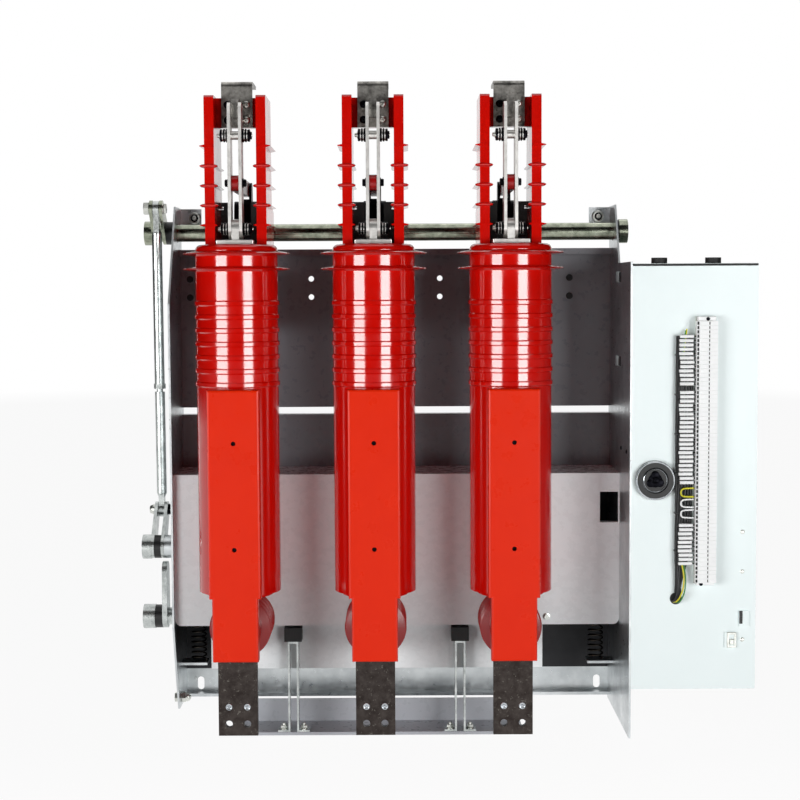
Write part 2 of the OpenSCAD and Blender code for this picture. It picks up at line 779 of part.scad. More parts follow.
// Two blades joined by the pivot, the drive pin and a clamping bolt with springs at both ends
module knife(p) {
    bolt_r = 6.5;
    pin_head = 5;
    chamfer = 6;
    front = pole_y + blade_w / 2;
    back = pole_y - blade_w / 2;
    tip = pivot_z + blade_len;
    color("whitesmoke") at(p * phase_pitch, 0, 0) union() {
        for (x = [-knife_w / 2, blade_gap / 2]) {
            side_profile(x, blade_t, [[back, pivot_z], [front, pivot_z], [front, tip - chamfer],
                [front - chamfer, tip], [back + chamfer, tip], [back, tip - chamfer]]);
            rod_along_x(x, pole_y, pivot_z, blade_w / 2, blade_t);
        }
        for (z = [pivot_z, clamp_z]) {
            rod_along_x(-knife_w / 2 - stack_len, pole_y, z, bolt_r + 2, stack_len);
            rod_along_x(knife_w / 2, pole_y, z, bolt_r + 2, stack_len);
        }
        rod_along_x(-knife_w / 2, pole_y, pivot_z, pin_r, knife_w);
        rod_along_x(-knife_w / 2, pole_y, clamp_z, bolt_r, knife_w);
        rod_along_x(-knife_w / 2 - pin_head, pole_y, pivot_z + arm, pin_r, knife_w + 2 * pin_head);
    }
}

module drive_link(p) {
    color("firebrick") at(p * phase_pitch, 0, 0) difference() {
        union() {
            slab(-block_w / 2, pole_y, pivot_z + arm - link_h / 2, block_w, pole_y - shaft_y, link_h);
            for (y = [pole_y, shaft_y])
                rod_along_x(-block_w / 2, y, pivot_z + arm, link_h / 2, block_w);
        }
        rod_along_x(-block_w, pole_y, pivot_z + arm, pin_r + play, 2 * block_w);
        rod_along_x(-block_w, shaft_y, pivot_z + arm, pin_r + fit, 2 * block_w);
    }
}

function arc_points(y, r, first, last) = [for (i = [0 : 20]) let(a = first + (last - first) * i / 20)
    [r * cos(a), y + r * sin(a)]];

// A flat arm that tapers from a round root to a round eye; its angle runs forward of straight up
module arm_plate(x, t, y, z, len, angle, root_r, eye_r) {
    lean = asin((root_r - eye_r) / len);
    at(x, y, z) rotate([angle, 0, 0]) rotate([90, 0, 90]) linear_extrude(t)
        polygon(concat(arc_points(len, eye_r, lean, 180 - lean),
            arc_points(0, root_r, 180 - lean, 360 + lean)));
}

// A lever behind each pole, clamped on the isolating shaft and forked round the drive link
module shaft_levers() {
    eye_r = 11;
    clamp_w = 36;
    clamp_len = 37;
    clamp_eye_r = 14;
    web = arm - link_h / 2 - 4;
    color("black") for (p = [LEFT, MIDDLE, RIGHT]) at(p * phase_pitch, 0, 0) difference() {
        union() {
            for (x = [-lever_w / 2, lever_gap / 2])
                arm_plate(x, lever_t, shaft_y, pivot_z, arm, 0, hub_r - 1, eye_r);
            slab(-lever_gap / 2, shaft_y + eye_r, pivot_z, lever_gap, 2 * eye_r, web);
            arm_plate(-clamp_w / 2, clamp_w, shaft_y, pivot_z, clamp_len, 0, hub_r, clamp_eye_r);
            rod_along_x(-lever_w / 2 + 1, shaft_y, pivot_z + arm, pin_r, lever_w - 2);
        }
        rod_along_x(-clamp_w, shaft_y, pivot_z, shaft_r + fit, 2 * clamp_w);
    }
}

// The two plates of a crank on the left side; its pin is whole, or left open between the plates
module crank_fork(y, z, len, angle, whole) {
    pin_out = 2;
    pin_y = y + len * sin(angle);
    pin_z = z + len * cos(angle);
    for (x = [-rod_x - crank_out, -rod_x + crank_in])
        arm_plate(x, crank_t, y, z, len, angle, bush_r, rod_eye_r);
    if (whole)
        rod_along_x(-rod_x - crank_out - pin_out, pin_y, pin_z, rod_pin_r, 2 * (crank_out + pin_out));
    else
        for (x = [-rod_x - crank_out - pin_out, -rod_x + crank_in])
            rod_along_x(x, pin_y, pin_z, rod_pin_r, crank_t + pin_out);
}

module isolating_shaft() {
    left_end = -rod_x - crank_out - end_hub_len;
    right_end = plate_right_out + end_hub_gap + end_hub_len;
    color("silver") union() {
        rod_along_x(left_end + 2, shaft_y, pivot_z, shaft_r, right_end - left_end - 4);
        for (x = [left_end, right_end - end_hub_len])
            rod_along_x(x, shaft_y, pivot_z, end_hub_r, end_hub_len);
        crank_fork(shaft_y, pivot_z, upper_arm, upper_arm_angle, true);
    }
}

// Flanged bushings that carry the isolating shaft, and the black collar of the interlock shaft
module shaft_bushings() {
    left_end = -rod_x + crank_out + play;
    right_end = plate_right_out + end_hub_gap - play;
    color("black") {
        difference() {
            union() {
                rod_along_x(left_end, shaft_y, pivot_z, bush_r, plate_left_out - left_end);
                rod_along_x(left_end + 2, shaft_y, pivot_z, spigot_r, -frame_left - left_end - 2);
            }
            rod_along_x(-rod_x, shaft_y, pivot_z, shaft_r + fit, rod_x - frame_left + through);
        }
        difference() {
            union() {
                rod_along_x(frame_right, shaft_y, pivot_z, spigot_r, right_end - frame_right - 2);
                rod_along_x(plate_right_out, shaft_y, pivot_z, bush_r, right_end - plate_right_out);
            }
            rod_along_x(frame_right - through, shaft_y, pivot_z, shaft_r + fit,
                right_end - frame_right + 2 * through);
        }
        difference() {
            rod_along_x(interlock_x + fit, drive_y, interlock_z, bush_r, collar_w);
            rod_along_x(interlock_x, drive_y, interlock_z, shaft_r + fit, collar_w + through);
        }
    }
}

// A rod that tapers to a flat at both ends, with a bored eye above and a closed one below
module pull_rod() {
    tilt = atan2(foot_pin_y - rod_pin_y, rod_pin_z - foot_pin_z);
    span = norm([foot_pin_y - rod_pin_y, rod_pin_z - foot_pin_z]);
    eye_r = rod_eye_r - 1;
    flat_top = 40;
    flat_low = 27;
    taper = 8;
    neck_r = rod_r - 3;
    neck_h = 5;
    joint = -rod_joint;
    color("silver") at(-rod_x, rod_pin_y, rod_pin_z) rotate([-tilt, 0, 0]) difference() {
        union() {
            translate([0, 0, flat_low - span])
                cylinder(r = rod_r, h = span - flat_low + joint - neck_h, $fn = round_fn);
            translate([0, 0, joint - neck_h - 1]) cylinder(r = neck_r, h = neck_h + 2, $fn = round_fn);
            translate([0, 0, joint]) cylinder(r = rod_r, h = -flat_top - joint, $fn = round_fn);
            translate([0, 0, joint]) cylinder(r = rod_r + 1.5, h = rod_nut_h, $fn = 6);
            translate([0, 0, -flat_top]) cylinder(r1 = rod_r, r2 = rod_eye_t / 2, h = taper, $fn = round_fn);
            translate([0, 0, flat_low - taper - span])
                cylinder(r1 = rod_eye_t / 2, r2 = rod_r, h = taper, $fn = round_fn);
            for (z = [0, -span]) translate([-rod_eye_t / 2, 0, z]) rotate([0, 90, 0])
                cylinder(r = eye_r, h = rod_eye_t, $fn = round_fn);
            translate([-rod_eye_t / 2, -rod_r + 1, -flat_top - 4])
                cube([rod_eye_t, 2 * rod_r - 2, flat_top + 4]);
            translate([-rod_eye_t / 2, -rod_r + 1, -span])
                cube([rod_eye_t, 2 * rod_r - 2, flat_low + 4]);
        }
        translate([-rod_eye_t, 0, 0]) rotate([0, 90, 0])
            cylinder(r = rod_pin_r + fit, h = 2 * rod_eye_t, $fn = round_fn);
    }
}

// A stub of the drive shaft, which enters the frame, with the crank on it
module lower_crank() {
    left_end = -rod_x - crank_out - end_hub_len;
    color("silver") union() {
        rod_along_x(left_end + 2, drive_y, drive_z, shaft_r, stub_len - frame_left - left_end - 2);
        rod_along_x(left_end, drive_y, drive_z, end_hub_r, end_hub_len);
        crank_fork(drive_y, drive_z, lower_arm, -lower_arm_angle, false);
    }
}

// The black spacer on the drive shaft, between the two plates of the crank
module crank_spacer() {
    reach = crank_in - fit;
    color("black") difference() {
        rod_along_x(-rod_x - reach, drive_y, drive_z, bush_r, 2 * reach);
        rod_along_x(-rod_x - reach - through, drive_y, drive_z, shaft_r + fit, 2 * (reach + through));
    }
}

// The interlock shaft end, with a lever plate beside the side plate
module interlock_lever() {
    left_end = -rod_x - crank_out - end_hub_len;
    lever_x = interlock_x + collar_w + 2 * fit;
    eye_r = 16;
    color("silver") union() {
        rod_along_x(left_end, drive_y, interlock_z, end_hub_r, interlock_x - left_end);
        rod_along_x(left_end + 2, drive_y, interlock_z, shaft_r, plate_left_out - left_end - 2);
        arm_plate(lever_x, interlock_t, drive_y, interlock_z,
            drive_z - interlock_z - bush_r - eye_r - gap, 0, bush_r, eye_r);
    }
}

// Hangers and springs

module hanger_blocks() {
    color("black") for (x = [-hanger_x, hanger_x])
        slab(x - block_out / 2, hanger_y, hanger_top, block_out, hanger_y - beam_y, block_h);
}

// A strap bent to a U that hangs from a block and carries the apron on its two feet
module apron_hangers() {
    foot = -apron_drop;
    side_x = hanger_gap / 2 + hanger_t;
    color("silver") for (x = [-hanger_x, hanger_x]) union() {
        slab(x - side_x, hanger_y, hanger_top - hanger_t, 2 * side_x, hanger_w, hanger_t);
        for (leg = [x - side_x, x + hanger_gap / 2])
            slab(leg, hanger_y, foot, hanger_t, hanger_w, hanger_top - foot);
        slab(x - side_x - hanger_foot, hanger_y, foot, hanger_foot + hanger_t, hanger_w, hanger_t);
        slab(x + hanger_gap / 2, hanger_y, foot, hanger_foot + hanger_t, hanger_w, hanger_t);
    }
}

// Brackets on the side plates that hold the lower ends of the opening springs
module spring_seats() {
    reach = spring_inset + spring_r + seat_rim;
    color("silver") for (x = [-frame_left, frame_right - reach])
        slab(x, spring_y + spring_r + 4, spring_z - seat_t, reach, 2 * spring_r + 8, seat_t);
}

module opening_springs() {
    color("dimgray") for (x = [-frame_left + spring_inset, frame_right - spring_inset])
        at(x, spring_y, spring_z) cylinder(r = spring_r, h = spring_len, $fn = round_fn);
}

// Mechanism box

module mechanism_box() {
    recess = 12;
    color("azure") difference() {
        slab(box_x, box_y - front_t, box_z, box_w, box_y - front_t, box_top - box_z);
        side_cutouts(box_x - through, recess + through);
    }
}

module mechanism_front() {
    color("azure") slab(box_x, box_y, box_z, box_w, front_t, box_top - box_z - front_t);
}

// The round socket for the hand crank, open in its middle
module crank_socket() {
    rim = 2;
    rim_out = 8;
    dish_r = 20;
    dish_out = 5;
    color("black") at(box_x + socket_inset, box_y, socket_z) rotate([90, 0, 0])
        rotate_extrude($fn = round_fn) polygon([[socket_hole_r, 0], [socket_r, 0],
            [socket_r, rim_out - rim], [socket_r - rim, rim_out], [dish_r, rim_out],
            [dish_r - rim, dish_out], [socket_hole_r, dish_out]]);
}

module terminal_strip() {
    rim = 6;
    x = box_x + strip_inset;
    color("white") union() {
        slab(x, box_y + strip_rail, strip_z, strip_w, strip_rail, strip_top - strip_z);
        slab(x + rim, box_y + strip_out, strip_z + 2, strip_w - 2 * rim, strip_out - strip_rail,
            strip_top - strip_z - 4);
    }
}

// The bundle of wires beside the strip, which turns back into the box at its lower end
module wire_harness() {
    low = harness_z + harness_bend;
    axis_y = box_y + harness_r;
    color("black") difference() {
        union() {
            at(box_x + harness_inset, axis_y, low)
                cylinder(r = harness_r, h = harness_top - low, $fn = fine_fn);
            at(box_x + harness_inset, axis_y - harness_bend, low) rotate([0, 90, 0])
                rotate([0, 0, -90]) rotate_extrude(angle = 90, $fn = round_fn)
                translate([harness_bend, 0]) circle(r = harness_r, $fn = fine_fn);
        }
        slab(box_x, box_y, box_z, box_w, box_y, box_top - box_z);
    }
}

// Rubber grommets for cables, on top of the box
module cable_grommets() {
    color("black") for (x = [grommet_inset, strip_inset + strip_w]) at(box_x + x, grommet_y, box_top)
        difference() {
            cylinder(r = grommet_r, h = grommet_h, $fn = round_fn);
            translate([0, 0, 2]) cylinder(r = grommet_hole_r, h = grommet_h, $fn = round_fn);
        }
}

module door_latches() {
    color("silver") for (latch = [[latch_lower_inset, latch_lower_z], [latch_upper_inset, latch_upper_z]])
        slab(box_x + latch[0] - latch_w / 2, box_y + latch_t, latch[1] - latch_h / 2, latch_w,
            latch_t, latch_h);
}

left_side_plate();
right_side_plate();
mounting_tabs();
upper_back_panel();
middle_back_panel();
rear_closing_plate();
lower_rail();
lower_apron();
insulator_beam();
lower_cover();
pole(LEFT);  // pole_left
pole(MIDDLE);  // pole_middle
pole(RIGHT);  // pole_right
pole_hood(LEFT);  // pole_hood_left
pole_hood(MIDDLE);  // pole_hood_middle
pole_hood(RIGHT);  // pole_hood_right
throat_barriers();
lower_insulators();
upper_insulators();
lower_terminals();
fixed_contacts();
knife_bases();
knife(LEFT);  // knife_left
knife(MIDDLE);  // knife_middle
knife(RIGHT);  // knife_right
drive_link(LEFT);  // drive_link_left
drive_link(MIDDLE);  // drive_link_middle
drive_link(RIGHT);  // drive_link_right
isolating_shaft();
shaft_levers();
shaft_bushings();
pull_rod();
lower_crank();
crank_spacer();
interlock_lever();
hanger_blocks();
apron_hangers();
spring_seats();
opening_springs();
mechanism_box();
mechanism_front();
crank_socket();
terminal_strip();
wire_harness();
cable_grommets();
door_latches();
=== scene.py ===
# %% [markdown]
# A three-pole vacuum circuit breaker with an isolating knife above each pole. The solids come
# from the CAD model and stay as they are. Blender gives them their finishes, and adds what is
# too small for the solids: bolts, disc springs, wires, terminals and screws.
# Sizes and places on the object are in millimetres and are turned to metres by MM. Those of the
# lamps, floor and curtain are in metres.

# %% Load the CAD frame
import math
import random
import bmesh
import bpy
from mathutils import Matrix, Vector


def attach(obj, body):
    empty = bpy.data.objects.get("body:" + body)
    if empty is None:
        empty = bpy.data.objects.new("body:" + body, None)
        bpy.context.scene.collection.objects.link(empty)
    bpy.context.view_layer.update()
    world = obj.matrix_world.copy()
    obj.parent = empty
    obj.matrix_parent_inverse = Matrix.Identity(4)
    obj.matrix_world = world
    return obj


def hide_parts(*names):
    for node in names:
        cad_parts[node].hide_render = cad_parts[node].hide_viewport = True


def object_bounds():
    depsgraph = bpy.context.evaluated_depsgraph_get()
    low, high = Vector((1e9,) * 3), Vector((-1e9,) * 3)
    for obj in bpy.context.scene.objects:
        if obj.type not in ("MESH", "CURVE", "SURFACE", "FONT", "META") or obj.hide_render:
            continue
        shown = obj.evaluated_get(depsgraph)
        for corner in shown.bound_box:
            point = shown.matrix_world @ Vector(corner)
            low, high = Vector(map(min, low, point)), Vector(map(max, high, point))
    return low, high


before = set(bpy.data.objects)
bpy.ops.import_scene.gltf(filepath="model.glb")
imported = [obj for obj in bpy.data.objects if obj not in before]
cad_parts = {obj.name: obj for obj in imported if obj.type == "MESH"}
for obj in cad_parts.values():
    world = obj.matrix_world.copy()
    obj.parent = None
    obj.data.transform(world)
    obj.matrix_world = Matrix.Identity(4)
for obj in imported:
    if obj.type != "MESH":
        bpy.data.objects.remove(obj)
CAD_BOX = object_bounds()
MM = 0.001
bpy.ops.object.select_all(action="DESELECT")

# %% [markdown]
# The camera stands where the photographer stood: 2.7 m in front, level with the upper third and
# tilted down a little, with a long lens. A tiny roll follows the photograph.

# %% Camera
EYE = Vector((39.5, -2673, 662)) * MM
PITCH, ROLL, FOCAL_PX, FRAME_PX, SENSOR_MM = 3.95, -0.286, 1603, 800, 36

camera_data = bpy.data.cameras.new("photo_camera")
camera_data.sensor_width = SENSOR_MM
camera_data.lens = SENSOR_MM * FOCAL_PX / FRAME_PX
camera_data.clip_start, camera_data.clip_end = 0.1, 60
camera = bpy.data.objects.new("photo_camera", camera_data)
bpy.context.scene.collection.objects.link(camera)
camera.matrix_world = (Matrix.Translation(EYE) @ Matrix.Rotation(math.radians(90 - PITCH), 4, "X")
                       @ Matrix.Rotation(math.radians(ROLL), 4, "Z"))
bpy.context.scene.camera = camera
bpy.context.scene.view_settings.view_transform = "Standard"
print("lens", round(camera_data.lens, 1), "mm")

# %% [markdown]
# Two wide soft boxes stand left and right of the camera. Each shows as one upright streak on the
# round poles, at the place where the photograph has it. A weak lamp high up behind gives the tops
# a little light. So does the air around, and the gaps between the poles stay dark.

# %% Soft boxes
BODY_MIDDLE, ABOVE_POLES, TOP_LAMP_Z = (0.03, -0.15, 0.46), (0.03, 0.0, 1.6), 3.4


def soft_box(name, azimuth, distance, width, height, watts, aim=BODY_MIDDLE, rise=0.12):
    """A lamp at an angle round the aim and turned to face it; lengths are in metres."""
    data = bpy.data.lights.new(name, "AREA")
    data.shape, data.size, data.size_y, data.energy = "RECTANGLE", width, height, watts
    lamp = bpy.data.objects.new(name, data)
    bpy.context.scene.collection.objects.link(lamp)
    angle = math.radians(azimuth)
    lamp.location = Vector(aim) + Vector((math.sin(angle), -math.cos(angle), rise)) * distance
    lamp.rotation_euler = (Vector(aim) - lamp.location).to_track_quat("-Z", "Y").to_euler()
    return lamp


soft_box("soft_box_left", -39.6, 4.0, 2.1, 1.2, 82, rise=0.02)
soft_box("soft_box_right", 32.6, 4.0, 1.8, 1.2, 78, rise=0.02)
soft_box("top_light", 175, 1.6, 1.6, 1.0, 6, aim=ABOVE_POLES).location.z = TOP_LAMP_Z
for lamp in bpy.data.lights:
    print(lamp.name, lamp.energy, "W")

# %% [markdown]
# Each colour is written as the hex value that a screen shows, and one function turns it to the
# linear values that the shader works in. One more function adds a node with its settings and links.

# %% Colour and node helpers
def linear(hex_text):
    """sRGB hex text to linear red, green, blue and alpha."""
    values = [int(hex_text[start:start + 2], 16) / 255 for start in (1, 3, 5)]
    return tuple(value / 12.92 if value <= 0.04045 else ((value + 0.055) / 1.055) ** 2.4
                 for value in values) + (1.0,)


def add_node(tree, kind, links=None, **settings):
    """Adds a node; settings go to its properties or sockets, links join its inputs to other outputs."""
    node = tree.nodes.new("ShaderNode" + kind)
    for key, value in settings.items():
        if hasattr(node, key):
            setattr(node, key, value)
        else:
            node.inputs[key.replace("_", " ")].default_value = value
    for key, source in (links or {}).items():
        tree.links.new(source, node.inputs[key])
    return node


def new_material(name, **shader):
    """A material with one Principled shader; returns it with its tree, shader and object coordinates."""
    material = bpy.data.materials.new(name)
    material.use_nodes = True
    tree = material.node_tree
    tree.nodes.clear()
    surface = add_node(tree, "BsdfPrincipled", **shader)
    add_node(tree, "OutputMaterial", links={"Surface": surface.outputs[0]})
    place = add_node(tree, "TexCoord").outputs["Object"]
    return material, tree, surface, place


def blend_colours(tree, factor, low, high):
    """A colour between two hex colours, by a factor socket."""
    ramp = add_node(tree, "ValToRGB", links={"Fac": factor})
    ramp.color_ramp.elements[0].color = linear(low)
    ramp.color_ramp.elements[1].color = linear(high)
    return ramp


def grain(tree, place, size_mm, stretch=(1, 1, 1), detail=4, rough=0.55):
    """Noise whose blobs are about size_mm across; stretch makes them longer along an axis."""
    spread = add_node(tree, "Mapping", links={"Vector": place},
                      Scale=tuple(1 / (size_mm * MM * times) for times in stretch))
    return add_node(tree, "TexNoise", links={"Vector": spread.outputs[0]}, Scale=1.0, Detail=detail,
                    Roughness=rough).outputs["Fac"]


def stretch_range(tree, value, low, high, to_low=0.0, to_high=1.0):
    """Maps a value from one range to another, clamped."""
    return add_node(tree, "MapRange", links={"Value": value}, From_Min=low, From_Max=high,
                    To_Min=to_low, To_Max=to_high).outputs[0]


def bump(tree, surface, height, depth_mm, strength):
    """Joins a height socket to the shader's normal."""
    node = add_node(tree, "Bump", links={"Height": height}, Distance=depth_mm * MM, Strength=strength)
    tree.links.new(node.outputs[0], surface.inputs["Normal"])


def seen_rays(tree):
    """A socket that is 1 for camera, glossy and transmission rays and 0 for the rest."""
    rays = add_node(tree, "LightPath").outputs
    seen = add_node(tree, "Math", links={0: rays["Is Camera Ray"], 1: rays["Is Glossy Ray"]},
                    operation="MAXIMUM")
    return add_node(tree, "Math", links={0: seen.outputs[0], 1: rays["Is Transmission Ray"]},
                    operation="MAXIMUM").outputs[0]


print("helpers ready")

# %% [markdown]
# The floor is a plain pale sheet, just under the lowest edge. It shows as nearly white to the camera,
# keeps a soft shadow near the object and turns pure white far behind, with a faint step in between.
# The world is white to the camera and in reflections and dim for the rest. A dark curtain stands
# round all sides but the back. It shows in reflections only, as an unlit studio does, and keeps the
# reds deep.

# %% Floor and world
FLOOR_Z = CAD_BOX[0].z - 0.002
FADE_START, FADE_END, NEAR_WHITE, AIR_LIGHT = 4.2, 5.5, 0.94, 0.04
CURTAIN_RADIUS, CURTAIN_HEIGHT, CURTAIN_BACK, CURTAIN_SUNK = 7, 12, 6.2, 0.1
bpy.ops.mesh.primitive_plane_add(size=24, location=(0, 4, FLOOR_Z))
floor = bpy.context.object
floor.name = "floor"
floor_paint, tree, surface, place = new_material("painted_studio_floor", Roughness=0.9)
surface.inputs["Specular IOR Level"].default_value = 0.1
tone = blend_colours(tree, grain(tree, place, 400), "#E8E8E8", "#EEEEEE")
tree.links.new(tone.outputs[0], surface.inputs["Base Color"])
seen = seen_rays(tree)
far = add_node(tree, "VectorMath", links={0: place}, operation="LENGTH").outputs["Value"]
cover = stretch_range(tree, far, FADE_START, FADE_END, NEAR_WHITE, 1.0)
share = add_node(tree, "Math", links={0: seen, 1: cover}, operation="MULTIPLY")
glow = add_node(tree, "Emission", Strength=1.0)
mix = add_node(tree, "MixShader", links={0: share.outputs[0], 1: surface.outputs[0], 2: glow.outputs[0]})
tree.links.new(mix.outputs[0], tree.nodes["Material Output"].inputs["Surface"])
floor.data.materials.append(floor_paint)

bpy.ops.mesh.primitive_cylinder_add(vertices=48, radius=CURTAIN_RADIUS, depth=CURTAIN_HEIGHT,
                                    end_fill_type="NOTHING",
                                    location=(0, 0, FLOOR_Z + (CURTAIN_HEIGHT / 2 - CURTAIN_SUNK)))
curtain = bpy.context.object
curtain.name = "dark_curtain"
bpy.ops.object.mode_set(mode="EDIT")
bpy.ops.mesh.select_all(action="SELECT")
bpy.ops.mesh.bisect(plane_co=(0, CURTAIN_BACK, 0), plane_no=(0, 1, 0), clear_outer=True)
bpy.ops.object.mode_set(mode="OBJECT")
curtain.visible_camera = curtain.visible_diffuse = curtain.visible_shadow = False
curtain.visible_transmission = False
felt, tree, surface, place = new_material("black_studio_felt", Roughness=1.0)
surface.inputs["Specular IOR Level"].default_value = 0.0
tree.links.new(blend_colours(tree, grain(tree, place, 30), "#0A0A0A", "#121212").outputs[0],
               surface.inputs["Base Color"])
curtain.data.materials.append(felt)

world = bpy.data.worlds.new("white_room")
bpy.context.scene.world = world
world.use_nodes = True
tree = world.node_tree
tree.nodes.clear()
strength = add_node(tree, "MapRange", links={"Value": seen_rays(tree)}, To_Min=AIR_LIGHT, To_Max=1.0)
sky = add_node(tree, "Background", links={"Strength": strength.outputs[0]}, Color=(1, 1, 1, 1))
add_node(tree, "OutputWorld", links={"Surface": sky.outputs[0]})
print("floor at", round(FLOOR_Z / MM), "mm")

# %% [markdown]
# Cast epoxy resin: the poles are one thick casting of red epoxy with mineral filler. The mould gives
# it a gloss with a faint ripple, and the red is a little deeper where the filler lies thicker.

# %% Cast epoxy
def cast_epoxy(name, dark, light, gloss, shine=0.5):
    """Glossy resin with soft clouds and a faint ripple; gloss is its roughness."""
    material, tree, surface, place = new_material(name, IOR=1.52, Specular_IOR_Level=shine)
    cloud = blend_colours(tree, grain(tree, place, 60), dark, light)
    tree.links.new(cloud.outputs[0], surface.inputs["Base Color"])
    tree.links.new(stretch_range(tree, grain(tree, place, 25), 0.3, 0.7, gloss - 0.04, gloss + 0.05),
                   surface.inputs["Roughness"])
    bump(tree, surface, grain(tree, place, 9, detail=2), 0.05, 0.35)
    return material


EPOXY_RED = cast_epoxy("cast_epoxy_red", "#C40A04", "#D01006", 0.12, shine=0.85)
EPOXY_ORANGE = cast_epoxy("cast_epoxy_orange_red", "#DE2404", "#E42B05", 0.30, shine=0.2)
EPOXY_DARK = cast_epoxy("cast_epoxy_dark_red", "#8C0B0C", "#9A1010", 0.24)
print(EPOXY_RED.name, EPOXY_ORANGE.name)

# %% [markdown]
# Sheet steel: the side plates and the rail are zinc plated, which leaves soft grey clouds. The
# panels are powder coated, and the coat has a fine orange peel that glitters next to a lamp.

# %% Sheet steel
def zinc_sheet(name, dark, light, rough):
    """Plated sheet with grey clouds and a fine grain."""
    material, tree, surface, place = new_material(name, Metallic=1.0)
    cloud = grain(tree, place, 45, detail=6)
    tree.links.new(blend_colours(tree, stretch_range(tree, cloud, 0.3, 0.7), dark, light).outputs[0],
                   surface.inputs["Base Color"])
    fine = grain(tree, place, 8, detail=6)
    tree.links.new(stretch_range(tree, fine, 0.3, 0.7, rough - 0.08, rough + 0.08),
                   surface.inputs["Roughness"])
    bump(tree, surface, grain(tree, place, 1.2), 0.02, 0.3)
    return material


def powder_coat(name, dark, light, rough, peel_mm, peel_depth):
    """Coated sheet with an orange peel of a given size and depth in millimetres."""
    material, tree, surface, place = new_material(name, IOR=1.5)
    cloud = blend_colours(tree, grain(tree, place, 90), dark, light)
    tree.links.new(cloud.outputs[0], surface.inputs["Base Color"])
    tree.links.new(stretch_range(tree, grain(tree, place, 12), 0.3, 0.7, rough - 0.05, rough + 0.05),
                   surface.inputs["Roughness"])
    bump(tree, surface, grain(tree, place, peel_mm, detail=3), peel_depth, 0.7)
    return material


ZINC_SHEET = zinc_sheet("zinc_plated_sheet_steel", "#B9BEC0", "#DDE1E2", 0.34)
GREY_COAT = powder_coat("grey_hammered_powder_coat", "#A9ACB2", "#B9BCC2", 0.30, 2.2, 0.10)
# The back panels take the apron's grey coat, darkened: painted shade for the shadow that falls on them
# between the poles.
SHADE_DARKENED_PANEL_COAT = powder_coat("grey_hammered_powder_coat_darkened_for_shade", "#7C7F85", "#8B8E94", 0.30, 2.2, 0.10)
WHITE_COAT = powder_coat("light_grey_powder_coat", "#E6EBED", "#EFF3F4", 0.28, 1.6, 0.03)
PALE_COAT = powder_coat("pale_blue_white_powder_coat", "#EAF5F5", "#F1FBFB", 0.38, 1.4, 0.05)
# The rear closing plate is near black: painted shade for the dark inside seen through the panel openings.
PAINTED_SHADE_SHEET = powder_coat("painted_shade_inner_sheet", "#0B0B0F", "#15151C", 0.55, 2.0, 0.05)
print("sheet finishes ready")

# %% [markdown]
# Bright and worn metal: shafts and rods are turned steel with zinc, the knives are copper with a
# silver plating, and the terminal bars carry an old dark tin coat with worn spots.

# %% Bar metal
def bright_metal(name, dark, light, rough, along, worn=None):
    """Metal with fine streaks along an axis; worn adds spots of another colour."""
    material, tree, surface, place = new_material(name, Metallic=1.0)
    stretch = {"x": (60, 1, 1), "z": (1, 1, 60), "none": (1, 1, 1)}[along]
    streak = grain(tree, place, 0.5, stretch=stretch, detail=3)
    cloud = grain(tree, place, 14, detail=7, rough=0.65)
    colour = blend_colours(tree, stretch_range(tree, cloud, 0.35, 0.68), dark, light)
    if worn:
        spots = stretch_range(tree, grain(tree, place, 5, detail=8, rough=0.7), 0.60, 0.66)
        colour = add_node(tree, "Mix", data_type="RGBA", links={0: spots, 6: colour.outputs[0]})
        colour.inputs[7].default_value = linear(worn)
        tree.links.new(colour.outputs[2], surface.inputs["Base Color"])
    else:
        tree.links.new(colour.outputs[0], surface.inputs["Base Color"])
    tree.links.new(stretch_range(tree, streak, 0.3, 0.7, rough - 0.08, rough + 0.10),
                   surface.inputs["Roughness"])
    bump(tree, surface, streak, 0.03, 0.4)
    return material


ZINC_STEEL = bright_metal("olive_passivated_turned_steel", "#7C8272", "#B6BAA8", 0.22, "x")
ROD_STEEL = bright_metal("zinc_plated_steel_rod", "#A4A9A8", "#D8DCDA", 0.28, "z")
SILVER_COPPER = bright_metal("silver_plated_copper", "#D6D4D0", "#F4F2EE", 0.40, "z")
TIN_DARK = bright_metal("dark_tinned_copper_bar", "#322C2A", "#4A4441", 0.36, "z", worn="#6E6A64")
TIN_GREY = bright_metal("worn_tinned_copper", "#5C5A57", "#B5B2AC", 0.36, "none", worn="#3E3A38")
BLACK_STEEL = bright_metal("black_oxide_steel", "#0E0E11", "#1E1E24", 0.42, "none")
SPRING_STEEL = bright_metal("oiled_spring_steel", "#25221F", "#4C463F", 0.34, "none")
BOLT_ZINC = bright_metal("zinc_plated_bolt_steel", "#C4C6C0", "#E8EAE4", 0.34, "none")
CHROME = bright_metal("polished_chrome_plating", "#A8ACB0", "#CACED2", 0.12, "none")
print("bar metals ready")

# %% [markdown]
# Plastics and rubber: the hand crank socket is black moulded plastic, the terminals are white
# nylon, the grommets and blocks are rubber and the wires have PVC skins. All leave a mould or a
# die, so they are smooth and a bit dull.

# %% Plastics
def moulded(name, dark, light, rough, size_mm=3):
    """Plastic or rubber with a faint grain of a given size in millimetres."""
    material, tree, surface, place = new_material(name, IOR=1.49)
    tone = blend_colours(tree, grain(tree, place, size_mm * 4), dark, light)
    tree.links.new(tone.outputs[0], surface.inputs["Base Color"])
    tree.links.new(stretch_range(tree, grain(tree, place, size_mm), 0.3, 0.7, rough - 0.06, rough + 0.06),
                   surface.inputs["Roughness"])
    bump(tree, surface, grain(tree, place, size_mm * 0.3), 0.02, 0.4)
    return material


